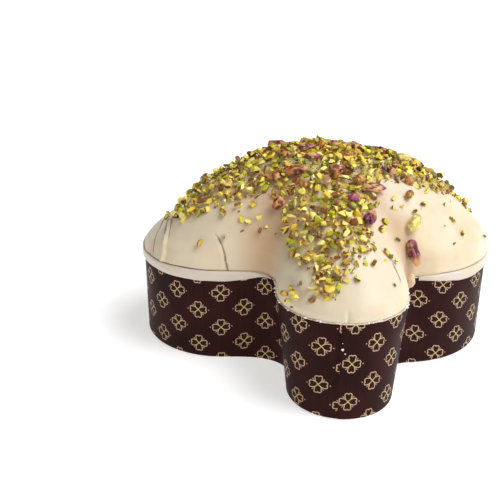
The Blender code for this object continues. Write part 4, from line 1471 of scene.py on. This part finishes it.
class CAKE_OT_chopped(bpy.types.Operator):
    """Make the chopped pistachio"""

    bl_idname = "cake.chopped"
    bl_label = "Chopped pistachio"

    SHAPES, LARGE_SHAPES = 18, 5
    CUTS, FEW_CUTS = (5, 8), 4
    # Pieces are laid no higher than this, in heaps of about this length, with a few all over the glaze
    TALLEST, HEAPS, LONELY = 0.0022, 0.0085, 0.0004
    TRIES = 12
    # They keep this far inside the rim, and off a kernel by a share of their length and a gap
    EDGE, OFF_KERNEL, GAP = 0.007, 0.46, 0.0002
    # On the tongue that runs down the head, most pieces shorter than this are left out
    TONGUE, COARSE, LEFT_OUT = -0.080, 0.0030, 0.6
    FLATNESS, SLIMNESS = (0.45, 0.95), (0.38, 1.0)
    LARGE_FLATNESS, LARGE_SLIMNESS = (0.60, 0.80), (0.60, 0.85)
    UPRIGHT, TIPPING = (0.3, 1.1), 0.35
    MORE_SHORT, CRUMB_LENGTHS = 1.8, (0.35, 0.8)
    # A sight line that misses the glaze is searched between these shares of the way to the middle
    HORIZON, HORIZON_STEPS = (0.5, 2.0), 300

    def execute(self, context):
        cake, look, stage = (getattr(context.scene, f"cake_{name}") for name in ("shape", "nuts", "stage"))
        self.draw = random.Random(SEED)
        self.outline, self.heap = Outline(cake), Heap(cake)
        self.glaze = tree_of([bpy.data.objects["glaze"]])
        self.kernels = tree_of([o for o in bpy.data.objects if o.name.startswith("pistachio_")])
        self.chunks = [chunk(self.draw, self.draw.randint(*self.CUTS), 2) for _ in range(self.SHAPES)]
        self.grains = [chunk(self.draw, self.FEW_CUTS, 1) for _ in range(self.SHAPES)]
        self.beans = [bean(self.draw) for _ in range(self.LARGE_SHAPES)]
        self.piles = {kind: bmesh.new() for kind in CHIP_KINDS}
        self.sow()
        self.lay_loose(stage)
        self.strew(look)
        for kind, pile in self.piles.items():
            colours = [getattr(look, label) for label in CHIP_KINDS[kind][0]]
            outside = look.husk if kind == "husk" else look.skin
            finish = chip_finish(f"nut_{kind}", colours, outside, look.shade_and_mottle)
            name = f"chopped_{kind}"
            add_piece(name, mesh_of(pile, name), (finish,), ("icing",), sharp=35)
        for mesh in self.chunks + self.grains + self.beans:
            bpy.data.meshes.remove(mesh)
        return {"FINISHED"}

    def sow(self):
        """How thick the pieces lie in each square, and the running total that places are drawn from."""
        half = self.heap.half
        places = (np.arange(2 * half) - half + 0.5) * MILLIMETRE
        x, y = (side.ravel() for side in np.meshgrid(places, places, indexing="ij"))
        heaped = ripple(np.column_stack([x, y, np.zeros_like(x)]), self.HEAPS)
        heaped = smooth_step(0.75 + 1.7 * heaped - 0.25 * (y > self.TONGUE))
        thick = thickness(x, y) * (0.10 + 0.90 * heaped) + self.LONELY
        self.x, self.y = x, y
        self.thick = thick * (self.outline.outside_by(x, y) < -self.EDGE)
        self.total = np.cumsum(self.thick) / self.thick.sum()

    def lay_loose(self, stage):
        """Lays the pieces that lie apart, each where the camera sees it."""
        eye, turn = Vector(stage.eye), view_turn(stage)
        for x, y, length, kind in LOOSE_CHIPS:
            towards = turn @ Vector((x - PICTURE / 2, PICTURE / 2 - y, -picture_distance(stage)))
            place, out = self.seen(eye, towards.normalized())
            shapes = self.beans if kind == "husk" else self.chunks
            self.lay(shapes, kind, place, out, length * MILLIMETRE)

    def strew(self, look):
        """Lays the pieces that are drawn at random, the longest first, and then the crumbs."""
        draw = self.draw
        kinds, shares = list(CHIP_KINDS), [share for _, share in CHIP_KINDS.values()]
        lengths = sorted((draw.random() ** self.MORE_SHORT for _ in range(look.chips)), reverse=True)
        for share in lengths:
            length = look.shortest + (look.longest - look.shortest) * share
            self.scatter(self.chunks, draw.choices(kinds, shares)[0], length)
        for _ in range(look.crumbs):
            length = look.shortest * draw.uniform(*self.CRUMB_LENGTHS)
            self.scatter(self.grains, draw.choices(kinds, shares)[0], length)

    def seen(self, eye, towards):
        """The place on the glaze in this direction from the eye, or nearest to it at the horizon."""
        place, out, _, _ = self.glaze.ray_cast(eye, towards)
        if place is None:
            steps = np.linspace(*self.HORIZON, self.HORIZON_STEPS)
            steps = steps * (eye.length - self.outline.cake.span / 2)
            hits = (self.glaze.find_nearest(eye + towards * step) for step in steps)
            place, out = min(hits, key=lambda hit: hit[3])[:2]
        return place, out

    def scatter(self, shapes, kind, length):
        """Lays one piece where a place drawn at random will take it."""
        draw = self.draw
        for _ in range(self.TRIES):
            square = int(np.searchsorted(self.total, draw.random()))
            x = self.x[square] + draw.uniform(-0.5, 0.5) * MILLIMETRE
            y = self.y[square] + draw.uniform(-0.5, 0.5) * MILLIMETRE
            if y < self.TONGUE and length < self.COARSE and draw.random() < self.LEFT_OUT:
                continue
            over = Vector((x, y, self.outline.cake.length))
            place, out, _, _ = self.glaze.ray_cast(over, Vector((0, 0, -1)))
            level = self.heap.level(place, length / 2)
            if level > self.TALLEST * (0.4 + 0.6 * self.thick[square]):
                continue
            centre = place + out * (level + 0.3 * length)
            if self.kernels.find_nearest(centre)[3] < self.OFF_KERNEL * length + self.GAP:
                continue
            if self.kernels.ray_cast(centre, Vector((0, 0, 1)))[0] is not None:
                continue
            self.lay(shapes, kind, place, out, length)
            return

    def lay(self, shapes, kind, place, out, length):
        """Puts a piece on the glaze or on what is piled up there, flat side down and turned at random."""
        draw = self.draw
        level = self.heap.level(place, length / 2)
        tall = length * draw.uniform(*self.FLATNESS)
        wide = length * draw.uniform(*self.SLIMNESS)
        turn = draw.uniform(0, 2 * math.pi)
        ahead = Vector((math.cos(turn), math.sin(turn), 0.0))
        side = out.cross(ahead).normalized()
        stand = Matrix((side.cross(out), side, out)).transposed().to_4x4()
        tip = Matrix.Rotation(draw.gauss(0, self.TIPPING), 4, "X")
        tip = tip @ Matrix.Rotation(draw.gauss(0, self.TIPPING), 4, "Y")
        upright = 0.0
        if kind == "husk":
            wide = length * draw.uniform(*self.LARGE_SLIMNESS)
            tall = length * draw.uniform(*self.LARGE_FLATNESS)
            upright = draw.uniform(*self.UPRIGHT)
            tip = Matrix.Rotation(-upright, 4, "Y")
        size = Matrix.Diagonal((length, wide, tall, 1.0))
        lifted = place + out * (level + 0.26 * tall + 0.10 * length * math.sin(upright))
        mesh = draw.choice(shapes).copy()
        mesh.transform(Matrix.Translation(lifted) @ stand @ tip @ size)
        tones = np.full(len(mesh.polygons), draw.random(), np.float32)
        mesh.attributes["tone"].data.foreach_set("value", tones)
        self.piles[kind].from_mesh(mesh)
        bpy.data.meshes.remove(mesh)
        tall = max(tall, length * math.sin(upright))
        self.heap.raise_to(place, 0.27 * length, level + 0.62 * tall)


class CAKE_OT_bread(bpy.types.Operator):
    """Make the bread, with its crumb and crust, just slim enough for the fine paper to clear its corners"""

    bl_idname = "cake.bread"
    bl_label = "Bread"

    SLIMMER = 0.985

    def execute(self, context):
        work = from_solid("bread")
        bmesh.ops.scale(work, verts=work.verts[:], vec=(self.SLIMMER, self.SLIMMER, 1.0))
        finish = crumb_finish(context.scene.cake_glaze)
        add_piece("bread_crumb", mesh_of(work, "bread_crumb"), (finish,), ("bread",))
        return {"FINISHED"}


def view_turn(stage):
    """How the camera is turned."""
    return Matrix.Rotation(math.pi / 2 - stage.tilt, 3, "X")


def picture_distance(stage):
    """How far the picture would stand from the lens, in its own pixels."""
    return stage.lens / SENSOR * PICTURE


def add_light(name, place, target, size, power, colour):
    """A round lamp that shines at the target."""
    light = bpy.data.lights.new(name, "AREA")
    light.shape = "DISK"
    light.size = size
    light.energy = power
    light.color = colour
    lamp = bpy.data.objects.new(name, light)
    lamp.location = place
    lamp.rotation_euler = (Vector(target) - Vector(place)).to_track_quat("-Z", "Y").to_euler()
    bpy.context.scene.collection.objects.link(lamp)


def add_scenery(name, mesh, finish):
    """An object that stands round the cake and isn't part of it."""
    mesh.materials.append(finish.material)
    thing = bpy.data.objects.new(name, mesh)
    bpy.context.scene.collection.objects.link(thing)
    thing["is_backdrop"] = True
    return thing


class CAKE_OT_stage(bpy.types.Operator):
    """Make the floor, the lights and the camera"""

    bl_idname = "cake.stage"
    bl_label = "Stage"

    FLOOR_SIZE, FLOOR_BELOW = 8, 0.0002
    # The floor's own light grows from near the cake to far from it, where it meets the wall
    SHINE, GLOW_GROWS = 0.99, (0.30, 1.2)
    WALL_AWAY, WALL_HEIGHT, WALL_SIDES = 7.5, 1.8, 96
    SPOT = 0.5
    TARGET = (0.0, -0.03, 0.06)

    def execute(self, context):
        scene, stage = context.scene, context.scene.cake_stage
        self.floor(stage)
        self.wall()
        world = bpy.data.worlds.new("studio")
        world.use_nodes = True
        background = world.node_tree.nodes["Background"]
        background.inputs["Color"].default_value = (1.0, 0.88, 0.72, 1.0)
        background.inputs["Strength"].default_value = stage.around
        scene.world = world
        add_light("key", (0.75, -0.55, 0.95), self.TARGET, 0.9, stage.key, (0.92, 0.96, 1.0))
        add_light("above", (0.58, -0.04, 1.22), self.TARGET, 1.0, stage.above, (0.94, 0.97, 1.0))
        add_light("front", (-0.30, -0.90, 0.55), self.TARGET, 0.8, stage.fill, (1.0, 0.80, 0.54))
        self.camera(scene, stage)
        scene.view_settings.view_transform = "Standard"
        return {"FINISHED"}

    def floor(self, stage):
        """A white floor, which shines more the further it is from the cake."""
        work = bmesh.new()
        bmesh.ops.create_grid(work, x_segments=2, y_segments=2, size=self.FLOOR_SIZE)
        finish = Finish("floor_white", 0.7, Specular_IOR_Level=0.2, Emission_Strength=1.0)
        away = finish.add("ShaderNodeVectorMath", {"operation": "LENGTH"}, {0: finish.place()}, "Value")
        near, far = (stage.glow,) * 3, (self.SHINE,) * 3
        finish.feed("Emission Color", finish.mix(away.ease(*self.GLOW_GROWS), near, far))
        spots = finish.noise(self.SPOT)
        finish.feed("Base Color", finish.mix(spots * 0.05, stage.floor, (1.0, 1.0, 1.0)))
        add_scenery("floor", mesh_of(work, "floor"), finish).location.z = -self.FLOOR_BELOW

    def wall(self):
        """A round white wall, far from the cake."""
        work = bmesh.new()
        round_wall = {"radius1": self.WALL_AWAY, "radius2": self.WALL_AWAY, "depth": self.WALL_HEIGHT}
        bmesh.ops.create_cone(work, cap_ends=False, segments=self.WALL_SIDES, **round_wall)
        bmesh.ops.translate(work, verts=work.verts[:], vec=(0, 0, self.WALL_HEIGHT / 2))
        finish = Finish("backdrop_white", 0.9, Specular_IOR_Level=0.0, Emission_Strength=self.SHINE)
        finish.feed("Emission Color", (1.0, 1.0, 1.0))
        spots = finish.noise(self.SPOT)
        finish.feed("Base Color", finish.mix(spots * 0.05, (0.1, 0.1, 0.1), (0.2, 0.2, 0.2)))
        add_scenery("backdrop", mesh_of(work, "backdrop"), finish)

    def camera(self, scene, stage):
        """The camera, from which the cake shows as it does here."""
        camera = bpy.data.cameras.new("camera")
        camera.sensor_width = SENSOR
        camera.lens = stage.lens
        camera.clip_start = 0.01
        camera.clip_end = 100.0
        viewer = bpy.data.objects.new("camera", camera)
        viewer.location = stage.eye
        viewer.rotation_euler = view_turn(stage).to_euler()
        scene.collection.objects.link(viewer)
        scene.camera = viewer


OPERATORS = (
    CAKE_OT_stage,
    CAKE_OT_bread,
    CAKE_OT_case,
    CAKE_OT_glaze,
    CAKE_OT_lip,
    CAKE_OT_drops,
    CAKE_OT_kernels,
    CAKE_OT_chopped,
)
GROUPS = {
    "cake_shape": CakeShape,
    "cake_paper": PaperLook,
    "cake_glaze": GlazeLook,
    "cake_nuts": NutLook,
    "cake_stage": StageLook,
}


class CAKE_PT_panel(bpy.types.Panel):
    """The settings and the pieces of the cake"""

    bl_idname = "CAKE_PT_panel"
    bl_label = "Easter cake"
    bl_space_type = "VIEW_3D"
    bl_region_type = "UI"
    bl_category = "Cake"

    def draw(self, context):
        for name, group in GROUPS.items():
            box = self.layout.box()
            box.label(text=group.__name__)
            for setting in group.__annotations__:
                box.prop(getattr(context.scene, name), setting)
        for operator in OPERATORS:
            self.layout.operator(operator.bl_idname)


def register():
    for group in (*GROUPS.values(), *OPERATORS, CAKE_PT_panel):
        bpy.utils.register_class(group)
    for name, group in GROUPS.items():
        setattr(bpy.types.Scene, name, bpy.props.PointerProperty(type=group))


def unregister():
    for name in GROUPS:
        delattr(bpy.types.Scene, name)
    for group in (CAKE_PT_panel, *reversed(OPERATORS), *GROUPS.values()):
        bpy.utils.unregister_class(group)


def main():
    register()
    for operator in OPERATORS:
        group, name = operator.bl_idname.split(".")
        getattr(getattr(bpy.ops, group), name)()
    corners = {"cad": CAD_BOX, "visual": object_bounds()}
    plain = {name: [list(map(float, corner)) for corner in box] for name, box in corners.items()}


if __name__ == "__main__":
    main()
